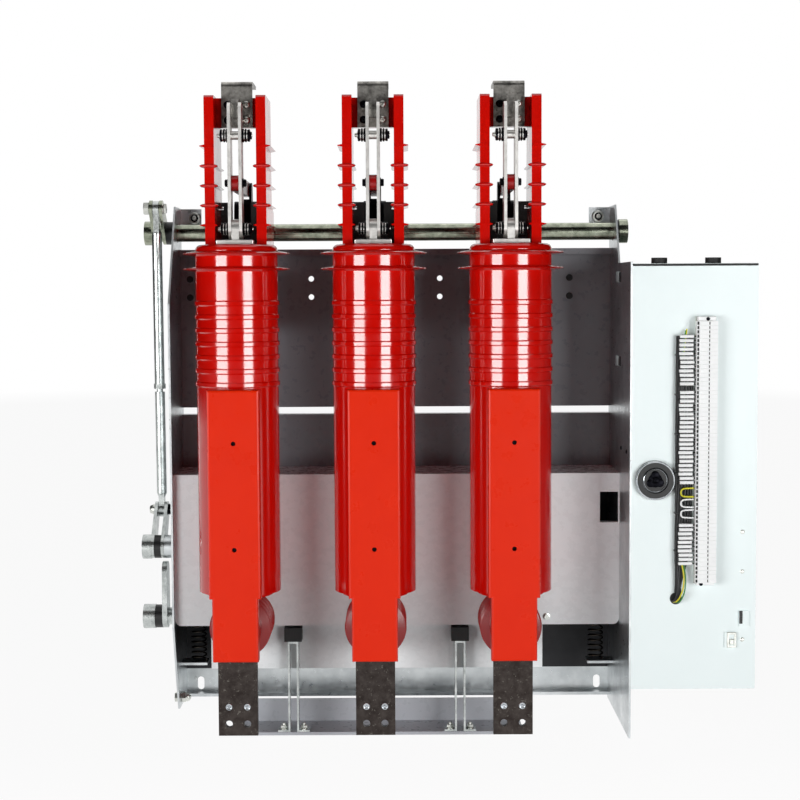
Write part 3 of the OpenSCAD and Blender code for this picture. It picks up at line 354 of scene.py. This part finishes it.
BLACK_PLASTIC = moulded("black_moulded_plastic", "#0B0B0C", "#151517", 0.38)
WHITE_NYLON = moulded("white_moulded_nylon", "#EEF0F0", "#F7F8F8", 0.45)
RUBBER = moulded("black_rubber", "#0C0C0C", "#181818", 0.62, 2)
YELLOW_PVC = moulded("yellow_pvc_insulation", "#C9C21E", "#D8D22E", 0.4)
GREEN_PVC = moulded("green_pvc_insulation", "#2E7A36", "#3A8C42", 0.4)
BLACK_PVC = moulded("black_pvc_insulation", "#0A0A0B", "#161618", 0.36)
print("plastics ready")

# %% [markdown]
# Every CAD node gets its finish here, one material for each node. The shapes stay as the CAD has
# them; only the hoods, springs and the terminal strip are made anew further down.

# %% Finish of each CAD node
FINISH = {
    "left_side_plate": ZINC_SHEET, "right_side_plate": ZINC_SHEET, "mounting_tabs": ZINC_SHEET,
    "lower_rail": ZINC_SHEET, "upper_back_panel": SHADE_DARKENED_PANEL_COAT, "middle_back_panel": SHADE_DARKENED_PANEL_COAT,
    "rear_closing_plate": PAINTED_SHADE_SHEET, "insulator_beam": WHITE_COAT, "lower_apron": GREY_COAT,
    "lower_cover": WHITE_COAT, "pole_left": EPOXY_RED, "pole_middle": EPOXY_RED, "pole_right": EPOXY_RED,
    "pole_hood_left": EPOXY_ORANGE, "pole_hood_middle": EPOXY_ORANGE, "pole_hood_right": EPOXY_ORANGE,
    "lower_insulators": EPOXY_DARK, "upper_insulators": EPOXY_DARK, "lower_terminals": TIN_DARK,
    "fixed_contacts": TIN_GREY, "knife_bases": SILVER_COPPER, "knife_left": SILVER_COPPER,
    "knife_middle": SILVER_COPPER, "knife_right": SILVER_COPPER, "drive_link_left": EPOXY_DARK,
    "drive_link_middle": EPOXY_DARK, "drive_link_right": EPOXY_DARK, "isolating_shaft": ZINC_STEEL,
    "shaft_levers": BLACK_STEEL, "shaft_bushings": BLACK_PLASTIC, "pull_rod": ROD_STEEL,
    "lower_crank": ROD_STEEL, "interlock_lever": ROD_STEEL, "hanger_blocks": RUBBER,
    "apron_hangers": ROD_STEEL, "spring_seats": ZINC_SHEET, "opening_springs": SPRING_STEEL,
    "mechanism_box": PALE_COAT, "mechanism_front": PALE_COAT, "crank_socket": BLACK_PLASTIC,
    "terminal_strip": WHITE_NYLON, "wire_harness": RUBBER, "cable_grommets": RUBBER,
    # throat_barriers are black plastic as painted shade for the dark throat behind each knife.
    "door_latches": PALE_COAT, "crank_spacer": BLACK_PLASTIC, "throat_barriers": BLACK_PLASTIC,
}
for name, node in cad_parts.items():
    node.data.materials.clear()
    node.data.materials.append(FINISH[name])
print("finished", len(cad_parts), "nodes")

# %% [markdown]
# Bolts, nuts, screws and spring washers: the real ones are cold headed or turned. Each part starts
# as a flat disc or hexagon that is extruded and resized step by step along its own axis, because
# every one of them is round or six-sided. One pattern is made and copied to each place.

# %% Turned pieces
AIM = {"front": (0, -1, 0), "back": (0, 1, 0), "left": (-1, 0, 0), "right": (1, 0, 0), "up": (0, 0, 1)}


def turned(sides, profile, material, closed=False):
    """Extrudes a disc along the steps (height, radius) of a profile; a closed one makes a ring."""
    height, radius = profile[0]
    bpy.ops.object.select_all(action="DESELECT")
    bpy.ops.mesh.primitive_circle_add(vertices=sides, radius=radius * MM,
                                      fill_type="NOTHING" if closed else "NGON")
    piece = bpy.context.object
    bpy.ops.object.mode_set(mode="EDIT")
    bpy.ops.mesh.select_all(action="SELECT")
    bpy.ops.transform.translate(value=(0, 0, height * MM))
    for new_height, new_radius in profile[1:] + (profile[:1] if closed else []):
        step, growth = (new_height - height) * MM, new_radius / radius
        bpy.ops.mesh.extrude_region_move(TRANSFORM_OT_translate={"value": (0, 0, step)})
        bpy.ops.transform.resize(value=(growth, growth, 1), center_override=(0, 0, new_height * MM))
        height, radius = new_height, new_radius
    bpy.ops.mesh.select_all(action="SELECT")
    bpy.ops.mesh.remove_doubles(threshold=0.001 * MM)
    bpy.ops.mesh.normals_make_consistent(inside=False)
    bpy.ops.object.mode_set(mode="OBJECT")
    piece.data.materials.append(material)
    bpy.ops.object.shade_smooth_by_angle(angle=math.radians(35))
    return piece


def join(pieces, name):
    """Joins pieces to one object with a plain name."""
    bpy.ops.object.select_all(action="DESELECT")
    for piece in pieces:
        piece.select_set(True)
    bpy.context.view_layer.objects.active = pieces[0]
    if len(pieces) > 1:
        bpy.ops.object.join()
    pieces[0].name = pieces[0].data.name = name
    return pieces[0]


def dress(piece, body):
    """Lets a piece ride on a body."""
    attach(piece, body)


def fasten(name, parts, spots, body="frame"):
    """Makes one fastener of turned parts and puts a copy at each spot (x, depth, height, direction)."""
    pattern = join([turned(*part) for part in parts], name + "_pattern")
    copies = []
    for x, depth, height, direction in spots:
        copy = pattern.copy()
        copy.data = pattern.data.copy()
        turn = Vector((0, 0, 1)).rotation_difference(Vector(AIM[direction])).to_matrix().to_4x4()
        copy.data.transform(Matrix.Translation(Vector((x, -depth, height)) * MM) @ turn)
        bpy.context.scene.collection.objects.link(copy)
        copies.append(copy)
    bpy.data.objects.remove(pattern)
    print(name, "x", len(copies))
    dress(join(copies, name), body)


PHASE_SPACING, BOX_FACE = 210, 252
POLES = {"left": -PHASE_SPACING, "middle": 0, "right": PHASE_SPACING}
print("directions:", sorted(AIM))

# %% [markdown]
# The frame's own fasteners: bolts in cupped washers in the two tabs, the foot bolt with its nut,
# screws in the hoods and side plate, nuts on the feet of the hangers, rivets in the box and one bolt
# in the lower cover. All are stock parts of plated or black steel.

# %% Frame bolts
HEX_NUT = [(0, 7.4), (0.5, 8.2), (5.6, 8.2), (6.1, 7.4)]
HOOD_SCREWS = (273, 433)


def lifted(profile, by):
    """The same profile, moved along its axis."""
    return [(height + by, radius) for height, radius in profile]


# The thin black ring between the cupped washer and the bolt is painted shade in the gap between them.
fasten("tab_bolts", [(28, [(0, 9.4), (4.4, 9.4), (5.4, 8.6), (5.4, 6.6), (2.0, 6.2)], BOLT_ZINC),
                     (24, [(2.1, 6.1), (2.4, 5.9)], BLACK_STEEL),
                     (16, [(2.2, 3.9), (7.4, 3.9), (8, 3.1)], BOLT_ZINC)],
       [(-299, 3, 781, "front"), (369, 3, 781, "front")])
fasten("foot_bolt_head", [(20, [(0, 10), (1.6, 10), (1.8, 9.7)], BOLT_ZINC),
                          (6, lifted(HEX_NUT, 1.8), BOLT_ZINC)],
       [(-325, 75, -5, "left")])
fasten("foot_bolt_nut", [(6, [(0, 8), (0.5, 8.8), (7, 8.8), (7.6, 8)], BOLT_ZINC),
                         (20, [(7.6, 7.2), (10, 7.2), (13, 6), (15, 3.6), (15.6, 1.6)], BOLT_ZINC)],
       [(-322, 75, -5, "right")])
fasten("hood_screws", [(20, [(0, 3.3), (2.0, 3.3), (2.6, 2.7), (2.6, 1.7), (1.2, 1.4)], BLACK_STEEL)],
       [(x, 286, z, "front") for x in POLES.values() for z in HOOD_SCREWS])
fasten("apron_nuts", [(20, [(0, 6.4), (0.9, 6.4), (1.1, 6.2)], BOLT_ZINC),
                      (6, [(1.1, 5.2), (1.5, 5.8), (5.4, 5.8), (5.8, 5.2)], BOLT_ZINC),
                      (14, [(5.8, 3), (9, 3), (9.6, 2.4)], BOLT_ZINC)],
       [(side * 134 + foot, 125, -45, "up") for side in (-1, 1) for foot in (-16, 16)])
fasten("side_plate_screws", [(20, [(0, 3.4), (0.8, 3.3), (1.4, 2.2), (1.0, 1.4)], BLACK_STEEL)],
       [(388, depth, 411, "left") for depth in (157, 217)])
fasten("box_rivets", [(20, [(0, 3.4), (0.5, 3.3), (1.2, 2.4), (1.5, 1.2)], BOLT_ZINC)],
       [(560, BOX_FACE, 291, "front"), (560, BOX_FACE, 230, "front"), (561, BOX_FACE, 125, "front")])
fasten("cover_bolt", [(20, [(0, 5.6), (1.0, 5.6), (1.2, 5.2)], BOLT_ZINC),
                      (16, [(1.2, 3.8), (4.2, 3.8), (4.8, 3.2)], BOLT_ZINC)], [(272, 138, 139, "front")])

# %% [markdown]
# Studs in the lower terminal bars, and the isolator's small parts: contact screws, the stacks of
# black disc springs that press the two blades together, the ends of the driving pin, and the
# screws of the knife's base.

# %% Isolator fasteners
DISC_SPRINGS = [(28, [(low, wide - 1), (low + 0.4, wide), (high - 0.4, wide), (high, wide - 1)],
                 BLACK_STEEL) for low, high, wide in ((0, 3.2, 10.4), (4.4, 7.2, 10.0), (8.4, 12.2, 9.4))]
KNIFE_DEPTH, BLADE_OUTSIDE, PIVOT_Z, DRIVE_PIN_Z, PRESSURE_Z = 207, 10.7, 755, 825, 897
STUD = [(-8, 5.3), (0.4, 5.3), (0.9, 4.9), (0.9, 3.9), (-1.0, 3.4), (-1.0, 2.2), (0.6, 1.4)]
BOLT_END = [(12.2, 5.4), (13.2, 5.4), (13.6, 3.2), (16.2, 3.2), (17, 2.2)]
fasten("terminal_studs", [(24, STUD, CHROME)],
       [(x + side * 14, 262, 26.5, "front") for x in POLES.values() for side in (-1, 1)])
for side, tone in ((-1, BLACK_STEEL), (1, BOLT_ZINC)):
    fasten("contact_screws_" + ("left" if side < 0 else "right"),
           [(20, [(0, 6), (1.4, 5.9), (2.8, 4.9), (3.5, 3.2), (3.5, 2.2), (1.8, 1.6), (1.8, 0.6)], tone)],
           [(x + side * 14.5, 175, z, "front") for x in POLES.values() for z in (923.5, 947)])
fasten("base_screws", [(20, [(0, 4.6), (2.3, 4.6), (2.8, 4.1), (2.8, 2.5), (1.2, 2.3)], BLACK_STEEL)],
       [(x + side * 19, 212, 738, "up") for x in POLES.values() for side in (-1, 1)])
for pole, x in POLES.items():
    outsides = [(x - BLADE_OUTSIDE, "left"), (x + BLADE_OUTSIDE, "right")]
    stacks = [(outside, KNIFE_DEPTH, z, aim) for z in (PIVOT_Z, PRESSURE_Z) for outside, aim in outsides]
    fasten("disc_springs_" + pole, DISC_SPRINGS, stacks, "knife_" + pole)
    fasten("bolt_ends_" + pole, [(20, BOLT_END, BOLT_ZINC)], stacks[0::2], "knife_" + pole)
    fasten("bolt_heads_" + pole, [(6, [(12.2, 6.6), (14.4, 6.6), (14.8, 6.0)], BLACK_STEEL),
                                  (16, [(14.8, 2.8), (15.6, 2.6)], BOLT_ZINC)],
           stacks[1::2], "knife_" + pole)
    fasten("drive_pins_" + pole, [(24, [(0, 7.4), (1.2, 7.4), (1.4, 7.1)], BLACK_STEEL),
                                  (20, [(1.4, 5.6), (5.0, 5.6), (5.8, 4.6)], BLACK_STEEL)],
           [(outside, KNIFE_DEPTH, DRIVE_PIN_Z, aim) for outside, aim in outsides],
           "knife_" + pole)

# %% [markdown]
# The ribs of a throat swell to a rounded lip where they cross the front edge of a wall, as the resin
# casting has no thin corner there. Each lip is a turned lens, pressed flat in depth.

# %% Rib lips
LENS = [(-2.9, 7.5), (-2.4, 11.2), (-1.2, 13.4), (0, 13.9), (1.2, 13.4), (2.4, 11.2), (2.9, 7.5)]
LIP_HEIGHTS, WALL_MIDDLE, LIP_DEPTH, LIP_FLATNESS = (791, 821, 851), 40.4, 208.5, 0.66
lips = []
for x in POLES.values():
    for side in (-1, 1):
        for z in LIP_HEIGHTS:
            lip = turned(32, LENS, EPOXY_RED)
            lip.data.transform(Matrix.Translation(Vector((x + side * WALL_MIDDLE, -LIP_DEPTH, z)) * MM)
                               @ Matrix.Diagonal((1, LIP_FLATNESS, 1, 1)))
            lips.append(lip)
print("rib lips:", len(lips))
dress(join(lips, "rib_lips"), "frame")

# %% [markdown]
# Nuts on the linkage at the left side. The rod's upper pin has a hex nut outside and a washer with a
# thin nut inside; the pin of the lower crank has a round cap outside and a black ring inside.

# %% Linkage nuts
LINK_NUT = [(0, 9.8), (0.7, 10.8), (8.2, 10.8), (9, 9.8)]
LINK_OUTSIDE, LINK_INSIDE, ROD_PIN, CRANK_PIN = -361, -339.5, (84.956, 793.192), (70.948, 305.4)
fasten("rod_pin_nut", [(6, LINK_NUT, BOLT_ZINC)], [(LINK_OUTSIDE, *ROD_PIN, "left")], "isolating_shaft")
fasten("rod_pin_washer", [(24, [(0, 9), (1.6, 9), (1.8, 8.6)], BOLT_ZINC),
                          (6, [(1.8, 7.6), (2.2, 8.4), (5.6, 8.4)], BOLT_ZINC)],
       [(LINK_INSIDE, *ROD_PIN, "right")], "isolating_shaft")
fasten("foot_pin_nut", [(24, [(0, 8.2), (3, 8.2), (8, 6.2), (8.6, 5.4)], BOLT_ZINC)],
       [(LINK_OUTSIDE, *CRANK_PIN, "left")], "lower_crank")
fasten("foot_pin_ring", [(24, [(0, 8.8), (3.6, 8.8), (4.2, 8.2)], BLACK_STEEL)],
       [(LINK_INSIDE, *CRANK_PIN, "right")], "lower_crank")

# %% [markdown]
# The opening springs are coils of 3 mm oiled wire. One ring of wire section is swept round and up by
# the Screw modifier, as the real wire is wound on a mandrel. It stands for the plain CAD cylinder.

# %% Opening springs
def coil(x, depth, low, high, radius, wire, pitch):
    """A coil spring between two heights."""
    bpy.ops.object.select_all(action="DESELECT")
    bpy.ops.mesh.primitive_circle_add(vertices=8, radius=wire * MM / 2, fill_type="NOTHING")
    spring = bpy.context.object
    bpy.ops.object.mode_set(mode="EDIT")
    bpy.ops.mesh.select_all(action="SELECT")
    bpy.ops.transform.rotate(value=math.radians(90), orient_axis="X", center_override=(0, 0, 0))
    bpy.ops.transform.translate(value=((radius - wire / 2) * MM, 0, (low + wire / 2) * MM))
    bpy.ops.object.mode_set(mode="OBJECT")
    wind = spring.modifiers.new("wind", "SCREW")
    wind.iterations = int((high - low - wire) / pitch)
    wind.screw_offset = (high - low - wire) / wind.iterations * MM
    wind.steps = wind.render_steps = 28
    bpy.ops.object.modifier_apply(modifier="wind")
    bpy.ops.object.mode_set(mode="EDIT")
    bpy.ops.mesh.select_all(action="SELECT")
    bpy.ops.mesh.fill_holes(sides=0)
    bpy.ops.mesh.normals_make_consistent(inside=False)
    bpy.ops.object.mode_set(mode="OBJECT")
    bpy.ops.object.shade_smooth_by_angle(angle=math.radians(60))
    spring.data.transform(Matrix.Translation(Vector((x, -depth, 0)) * MM))
    spring.data.materials.append(SPRING_STEEL)
    return spring


springs = join([coil(x, 60, 52, 182, 13, 3, 8.2) for x in (-294, 360)], "coil_springs")
dress(springs, "frame")
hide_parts("opening_springs")
print("springs:", len(springs.data.polygons), "faces")

# %% [markdown]
# The hand crank socket has two pressed chrome rings and a three-lobed dog in its opening that the
# crank's jaw fits on. The rings are closed turned profiles; the dog is three turned lobes, joined
# round a turned middle.

# %% Hand crank socket
SOCKET = (426, BOX_FACE, 371)
DOG = [(0.3, 10.8), (5.4, 10.8), (7.4, 5.4), (8.0, 4.4), (6.2, 1.6)]
LOBE_OFFSET = 8


def socket_ring(name, profile):
    """One closed chrome ring round the middle of the socket."""
    fasten(name, [(64, profile, CHROME, True)], [(*SOCKET, "front")])


socket_ring("socket_outer_ring", [(6.2, 27.4), (8.4, 27.2), (8.8, 27.7), (8.8, 29.0), (8.2, 29.8),
                                  (6.2, 30.2)])
socket_ring("socket_inner_ring", [(5.0, 17.0), (6.2, 17.2), (6.5, 17.6), (6.3, 18.1), (5.2, 18.3)])
lobes = []
for turn in (90, 210, 330):
    lobe = turned(24, [(5.0, 6.6), (6.6, 6.2), (7.2, 5.2)], BLACK_STEEL)
    angle = math.radians(turn)
    lobe.data.transform(Matrix.Translation(Vector((math.cos(angle), math.sin(angle), 0)) * LOBE_OFFSET * MM))
    lobes.append(lobe)
dog = join(lobes + [turned(24, DOG, BLACK_STEEL)], "socket_dog")
dog.data.transform(Matrix.Translation(Vector((SOCKET[0], -SOCKET[1], SOCKET[2])) * MM)
                   @ Matrix.Rotation(math.radians(90), 4, "X"))
dress(dog, "frame")
print("socket dressed")

# %% [markdown]
# The terminal strip is a row of white nylon clamps on a steel rail. One clamp is a block with a wire
# funnel sunk in its left end and a screw well near its middle. The row is copied upwards, with a
# thin shadow gap between neighbours, as the real clamps snap on one by one.

# %% Terminal clamps
CLAMP_PITCH, CLAMP_COUNT, STRIP_X, STRIP_Z = 6.5, 61, 484.5, 216
FUNNEL_END, WELL_START, WELL_END = 4.8, 17.4, 21.4


def boxed(low, high, material, edge, segments=1):
    """A block between two corners in millimetres, with bevelled edges unless edge is 0."""
    bpy.ops.object.select_all(action="DESELECT")
    bpy.ops.mesh.primitive_cube_add(size=1)
    block = bpy.context.object
    middle = [(start + end) / 2 * MM for start, end in zip(low, high)]
    size = [(end - start) * MM for start, end in zip(low, high)]
    bpy.ops.object.mode_set(mode="EDIT")
    bpy.ops.mesh.select_all(action="SELECT")
    bpy.ops.transform.resize(value=size, center_override=(0, 0, 0))
    bpy.ops.transform.translate(value=middle)
    if edge:
        bpy.ops.mesh.bevel(offset=edge * MM, segments=segments, affect="EDGES")
    bpy.ops.object.mode_set(mode="OBJECT")
    block.data.materials.append(material)
    return block


def sink(block, keep, by, depth, material):
    """Insets the front faces that keep() picks by their middle and pushes them in along +Y."""
    bpy.ops.object.select_all(action="DESELECT")
    block.select_set(True)
    bpy.context.view_layer.objects.active = block
    bpy.ops.object.mode_set(mode="EDIT")
    bpy.ops.mesh.select_mode(type="FACE")
    bpy.ops.mesh.select_all(action="DESELECT")
    mesh = bmesh.from_edit_mesh(block.data)
    for face in mesh.faces:
        if face.normal.y < -0.9 and keep(face.calc_center_median() / MM):
            face.select = True
    bmesh.update_edit_mesh(block.data)
    bpy.ops.mesh.inset(thickness=by * MM, depth=0)
    bpy.ops.mesh.extrude_region_move(TRANSFORM_OT_translate={"value": (0, depth * MM, 0)})
    block.data.materials.append(material)
    block.active_material_index = len(block.data.materials) - 1
    bpy.ops.object.material_slot_assign()
    bpy.ops.object.mode_set(mode="OBJECT")


clamp = boxed((0, -20, 0), (32, -8, 6.3), WHITE_NYLON, 0)
bpy.ops.object.mode_set(mode="EDIT")
for cut in (FUNNEL_END, WELL_START, WELL_END):
    bpy.ops.mesh.select_all(action="SELECT")
    bpy.ops.mesh.bisect(plane_co=(cut * MM, 0, 0), plane_no=(1, 0, 0))
bpy.ops.object.mode_set(mode="OBJECT")
# The funnel and the well are lined with black plastic: painted shade in the recesses.
sink(clamp, lambda middle: middle.x < FUNNEL_END, 0.7, 4.0, BLACK_PLASTIC)
sink(clamp, lambda middle: WELL_START < middle.x < WELL_END, 1.1, 3.0, BLACK_PLASTIC)
bpy.ops.object.mode_set(mode="EDIT")
bpy.ops.mesh.select_all(action="SELECT")
bpy.ops.mesh.normals_make_consistent(inside=False)
bpy.ops.object.mode_set(mode="OBJECT")
row = clamp.modifiers.new("row", "ARRAY")
row.count = CLAMP_COUNT
row.use_relative_offset = False
row.use_constant_offset = True
row.constant_offset_displace = (0, 0, CLAMP_PITCH * MM)
bpy.context.view_layer.objects.active = clamp
bpy.ops.object.modifier_apply(modifier="row")
clamp.data.transform(Matrix.Translation(Vector((STRIP_X, -BOX_FACE, STRIP_Z)) * MM))
clamps = join([clamp], "terminal_clamps")
dress(clamps, "frame")
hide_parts("terminal_strip")
rail = join([boxed((485.5, -260, 213), (515.5, -252, 619), BOLT_ZINC, 0.6),
             boxed((487, -270, 212.4), (514, -252, 215.8), WHITE_NYLON, 0.6),
             boxed((487, -270, 612.8), (514, -252, 619), WHITE_NYLON, 0.6)], "terminal_rail")
dress(rail, "frame")
fasten("terminal_end_screws", [(16, [(0, 2.8), (1.0, 2.7), (1.5, 1.8), (0.8, 1.2)], BLACK_STEEL)],
       [(501.6, 270, 615.6, "front"), (494, 270, 214.2, "front")])
print("clamps:", CLAMP_COUNT, "faces:", len(clamps.data.polygons))

# %% [markdown]
# Wires are drawn copper in coloured PVC. A wire is a short curve with a round section, turned to a
# mesh. White sleeves sit on the wire ends at the clamps.

# %% Wires and sleeves
def wire(points, thickness, material):
    """A round wire that follows points (x, depth, height)."""
    curve = bpy.data.curves.new("wire", "CURVE")
    curve.dimensions, curve.bevel_depth, curve.bevel_resolution = "3D", thickness * MM / 2, 2
    curve.resolution_u, curve.use_fill_caps = 6, True
    line = curve.splines.new("NURBS")
    line.points.add(len(points) - 1)
    for point, (x, depth, height) in zip(line.points, points):
        point.co = (x * MM, -depth * MM, height * MM, 1)
    line.order_u, line.use_endpoint_u = min(4, len(points)), True
    piece = bpy.data.objects.new("wire", curve)
    bpy.context.scene.collection.objects.link(piece)
    bpy.ops.object.select_all(action="DESELECT")
    piece.select_set(True)
    bpy.context.view_layer.objects.active = piece
    bpy.ops.object.convert(target="MESH")
    piece = bpy.context.object
    piece.data.materials.clear()
    piece.data.materials.append(material)
    bpy.ops.object.shade_smooth()
    return piece


SLEEVE = [(0, 1.8), (0.5, 2.5), (20.4, 2.5), (21, 1.9), (21, 1.3), (19, 1.2)]
WIRED_CLAMPS = [count for count in range(4, 58) if count != 45 and count not in range(14, 23)]
CURLED_STRANDS, STRAND_POINTS, STRAND_TOP, POINT_DROP, POINT_TURN = 7, 19, 590, 21, 0.22
random.seed(7)
spots, leads = [], []
for count in WIRED_CLAMPS:
    height = STRIP_Z + count * CLAMP_PITCH + 3
    reach = 481.5 + random.uniform(-1.2, 1.0)
    depth = 266 + random.uniform(-0.7, 0.7)
    spots.append((reach, depth, height, "left"))
    leads.append(wire([(486, depth, height), (481, depth, height), (476, depth, height)], 1.6, BLACK_PVC))
    leads.append(wire([(461.5, depth, height), (459.4, depth - 1.4, height - 1.4),
                       (458.6, 260, height - 6)], 1.9, BLACK_PVC))
fasten("wire_sleeves", [(10, SLEEVE, WHITE_NYLON)], spots)
dress(join(leads, "clamp_leads"), "frame")
strands = []
for strand in range(CURLED_STRANDS):
    phase = strand * 0.9
    points = []
    for count in range(STRAND_POINTS):
        height = STRAND_TOP - count * POINT_DROP
        sway = phase + count * POINT_TURN
        points.append((461 + 4.4 * math.cos(sway), 257 + 3.4 * math.sin(sway) + 1.0, height))
    swing = math.cos(phase)
    points = points[:-1] + [(463 + 3 * swing, 262 + strand % 3, 204),
                            (461 + 3 * swing, 261, 189 - strand % 2),
                            (455 + 2 * swing, 257, 184), (452, 250, 187)]
    strands.append(wire(points, 2.6, BLACK_PVC))
for x in (467, 471.5, 476, 480):
    strands.append(wire([(x, 256, 592), (x + 0.8, 257.5, 480), (x - 0.8, 256.5, 360), (x, 257, 250),
                         (466, 258, 226), (463, 257, 200)], 4.2, BLACK_PVC))
dress(join(strands, "harness_strands"), "frame")
GROMMET = [(0, 8.6), (2.2, 8.2), (3.4, 9.4), (3.4, 11.2), (2.2, 13), (0, 13.4)]
fasten("harness_grommet", [(40, GROMMET, RUBBER, True), (32, [(0.05, 9.2), (0.4, 9.1)], RUBBER)],
       [(459, BOX_FACE, 189, "front")])
JUMPERS = ((360, 347, YELLOW_PVC), (343, 331, WHITE_NYLON), (327, 315, WHITE_NYLON))
jumpers = [wire([(483, 266, high), (470, 267, high), (464, 267, high - 1), (463, 267, (high + low) / 2),
                 (464, 267, low + 1), (470, 267, low), (483, 266, low)], 2.6, tone)
           for high, low, tone in JUMPERS]
dress(join(jumpers, "jumpers"), "frame")
ties = [boxed((454.8, -263.2, z), (466.6, -BOX_FACE, z + 2.6), BLACK_PLASTIC, 0.5)
        for z in (560, 500, 440, 380, 320, 262)]
dress(join(ties, "harness_ties"), "frame")
earth = [wire([(472, 258, 600), (470, 262, 592), (468, 262, 570), (466, 260, 560)], 2.4, YELLOW_PVC),
         wire([(470, 259, 598), (468, 263, 588), (466.5, 262, 566), (465, 260, 556)], 2.2, GREEN_PVC),
         wire([(465, 262, 246), (469, 266, 232), (469, 268, 212), (465, 267, 197), (459, 262, 184),
               (455, BOX_FACE, 184)], 2.4, YELLOW_PVC),
         wire([(468, 261, 246), (472, 264, 228), (471.5, 266, 210), (469, 266, 196), (463, 262, 183),
               (459, BOX_FACE, 183)], 2.2, GREEN_PVC)]
dress(join(earth, "earth_wires"), "frame")
print("leads:", len(leads), "strands:", len(strands))

# %% [markdown]
# The hood of each pole is one casting with sharp corners and an even bevel round its face. It is cut
# from a block by two corner cuts, and the bevel runs round the whole outline in one go. The screw
# wells are turned sinks in the face. It stands for the CAD hood, whose upper corners are cut off.

# %% Pole hoods
def cut_away(body, tools):
    """Takes the tools out of a body."""
    for tool in tools:
        bpy.ops.object.select_all(action="DESELECT")
        bpy.context.view_layer.objects.active = body
        away = body.modifiers.new("away", "BOOLEAN")
        away.operation, away.object, away.solver = "DIFFERENCE", tool, "EXACT"
        bpy.ops.object.modifier_apply(modifier="away")
        bpy.data.objects.remove(tool)


def front_edges(piece, front_y, bevel_mm):
    """Bevels the outline of the front face."""
    bpy.ops.object.select_all(action="DESELECT")
    piece.select_set(True)
    bpy.context.view_layer.objects.active = piece
    bpy.ops.object.mode_set(mode="EDIT")
    bpy.ops.mesh.select_mode(type="EDGE")
    bpy.ops.mesh.select_all(action="SELECT")
    bpy.ops.mesh.dissolve_limited(angle_limit=math.radians(2))
    bpy.ops.mesh.select_all(action="DESELECT")
    mesh = bmesh.from_edit_mesh(piece.data)
    for edge in mesh.edges:
        if all(abs(corner.co.y - front_y * MM) < 1e-5 for corner in edge.verts):
            edge.select = True
    bmesh.update_edit_mesh(piece.data)
    bpy.ops.mesh.bevel(offset=bevel_mm * MM, segments=2, affect="EDGES")
    bpy.ops.object.mode_set(mode="OBJECT")


HOOD_FACE, HOOD_REAR, HOOD_FOOT, HOOD_TOP, HOOD_HALF, HOOD_BEVEL = 292, 271, 102, 513, 39, 3
NOTCH_MIDDLE, NOTCH_HALF, NOTCH_TOP = 39.5, 5, 198
for pole, x in POLES.items():
    hood = boxed((x - HOOD_HALF, -HOOD_FACE, HOOD_FOOT), (x + HOOD_HALF, -HOOD_REAR, HOOD_TOP),
                 EPOXY_ORANGE, 0)
    middles = [x - NOTCH_MIDDLE, x + NOTCH_MIDDLE]
    cut_away(hood, [boxed((middle - NOTCH_HALF, -HOOD_FACE - 8, HOOD_FOOT - 12),
                          (middle + NOTCH_HALF, -HOOD_REAR + 11, NOTCH_TOP), EPOXY_ORANGE, 0)
                    for middle in middles])
    front_edges(hood, -HOOD_FACE, HOOD_BEVEL)
    wells = []
    for z in HOOD_SCREWS:
        well = turned(28, [(-6, 3.5), (2, 3.5)], EPOXY_ORANGE)
        well.data.transform(Matrix.Translation(Vector((x, -HOOD_FACE, z)) * MM)
                            @ Matrix.Rotation(math.radians(90), 4, "X"))
        wells.append(well)
    cut_away(hood, wells)
    dress(join([hood], "hood_" + pole), "frame")
    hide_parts("pole_hood_" + pole)
print("hoods:", len(POLES))

# %% [markdown]
# Small moulded and pressed pieces: black inserts in the side cut-outs and plugs in the outer pairs of
# panel holes, both black as painted shade for the dark inside behind them; silver plated plates under
# the knives, the latch with its sunk window and the seal between the box and its front. The plugs are
# turned; the rest are blocks with bevelled edges.

# %% Plates, plugs and latches
# The black inserts fill the side cut-outs: painted shade for the dark inside behind them.
inserts = []
for z in (546, 680):
    insert = boxed((391.6, -148.6, z - 8), (402.6, -87.4, z + 8), BLACK_PLASTIC, 0.8)
    inserts += [insert, boxed((388.6, -144, z - 5), (393, -118, z + 5), BLACK_PLASTIC, 1.2)]
dress(join(inserts, "side_inserts"), "frame")
# Black plugs in the outer panel holes: painted shade for the dark seen through them.
PLUG = [(-2.4, 4.4), (0.2, 4.4), (0.2, 5.6), (1.0, 5.4), (1.5, 4.2), (1.1, 2.0)]
fasten("panel_plugs", [(24, PLUG, RUBBER)],
       [(x, 20, z, "front") for x in (-306, 320) for z in (650, 680)])
for pole, x in POLES.items():
    plate = boxed((x - 28, -234, 731.2), (x + 28, -183, 738), SILVER_COPPER, 0.9, 2)
    dress(join([plate], "knife_plate_" + pole), "frame")
latch = boxed((537, -256.4, 113), (551.5, -BOX_FACE, 137), BOLT_ZINC, 0.8)
# The latch's sunk window is lined black: painted shade in the recess.
sink(latch, lambda middle: middle.y < -256, 2.6, 1.6, BLACK_PLASTIC)
bolt = boxed((541, -257.6, 118), (547.6, -254.4, 127), BOLT_ZINC, 1.0, 2)
# The slit in the box is a thin black block: painted shade for the dark inside the slit.
painted_shade_slit = boxed((555.8, -255.8, 150), (560.6, -254.6, 170), BLACK_PLASTIC, 0.3)
dress(join([latch, bolt, painted_shade_slit], "latch_keeper"), "frame")
seal = boxed((391.4, -251.6, 695.4), (580.6, -248.4, 698.4), RUBBER, 0.4)
dress(join([seal], "door_seal"), "frame")
print("small plates ready")
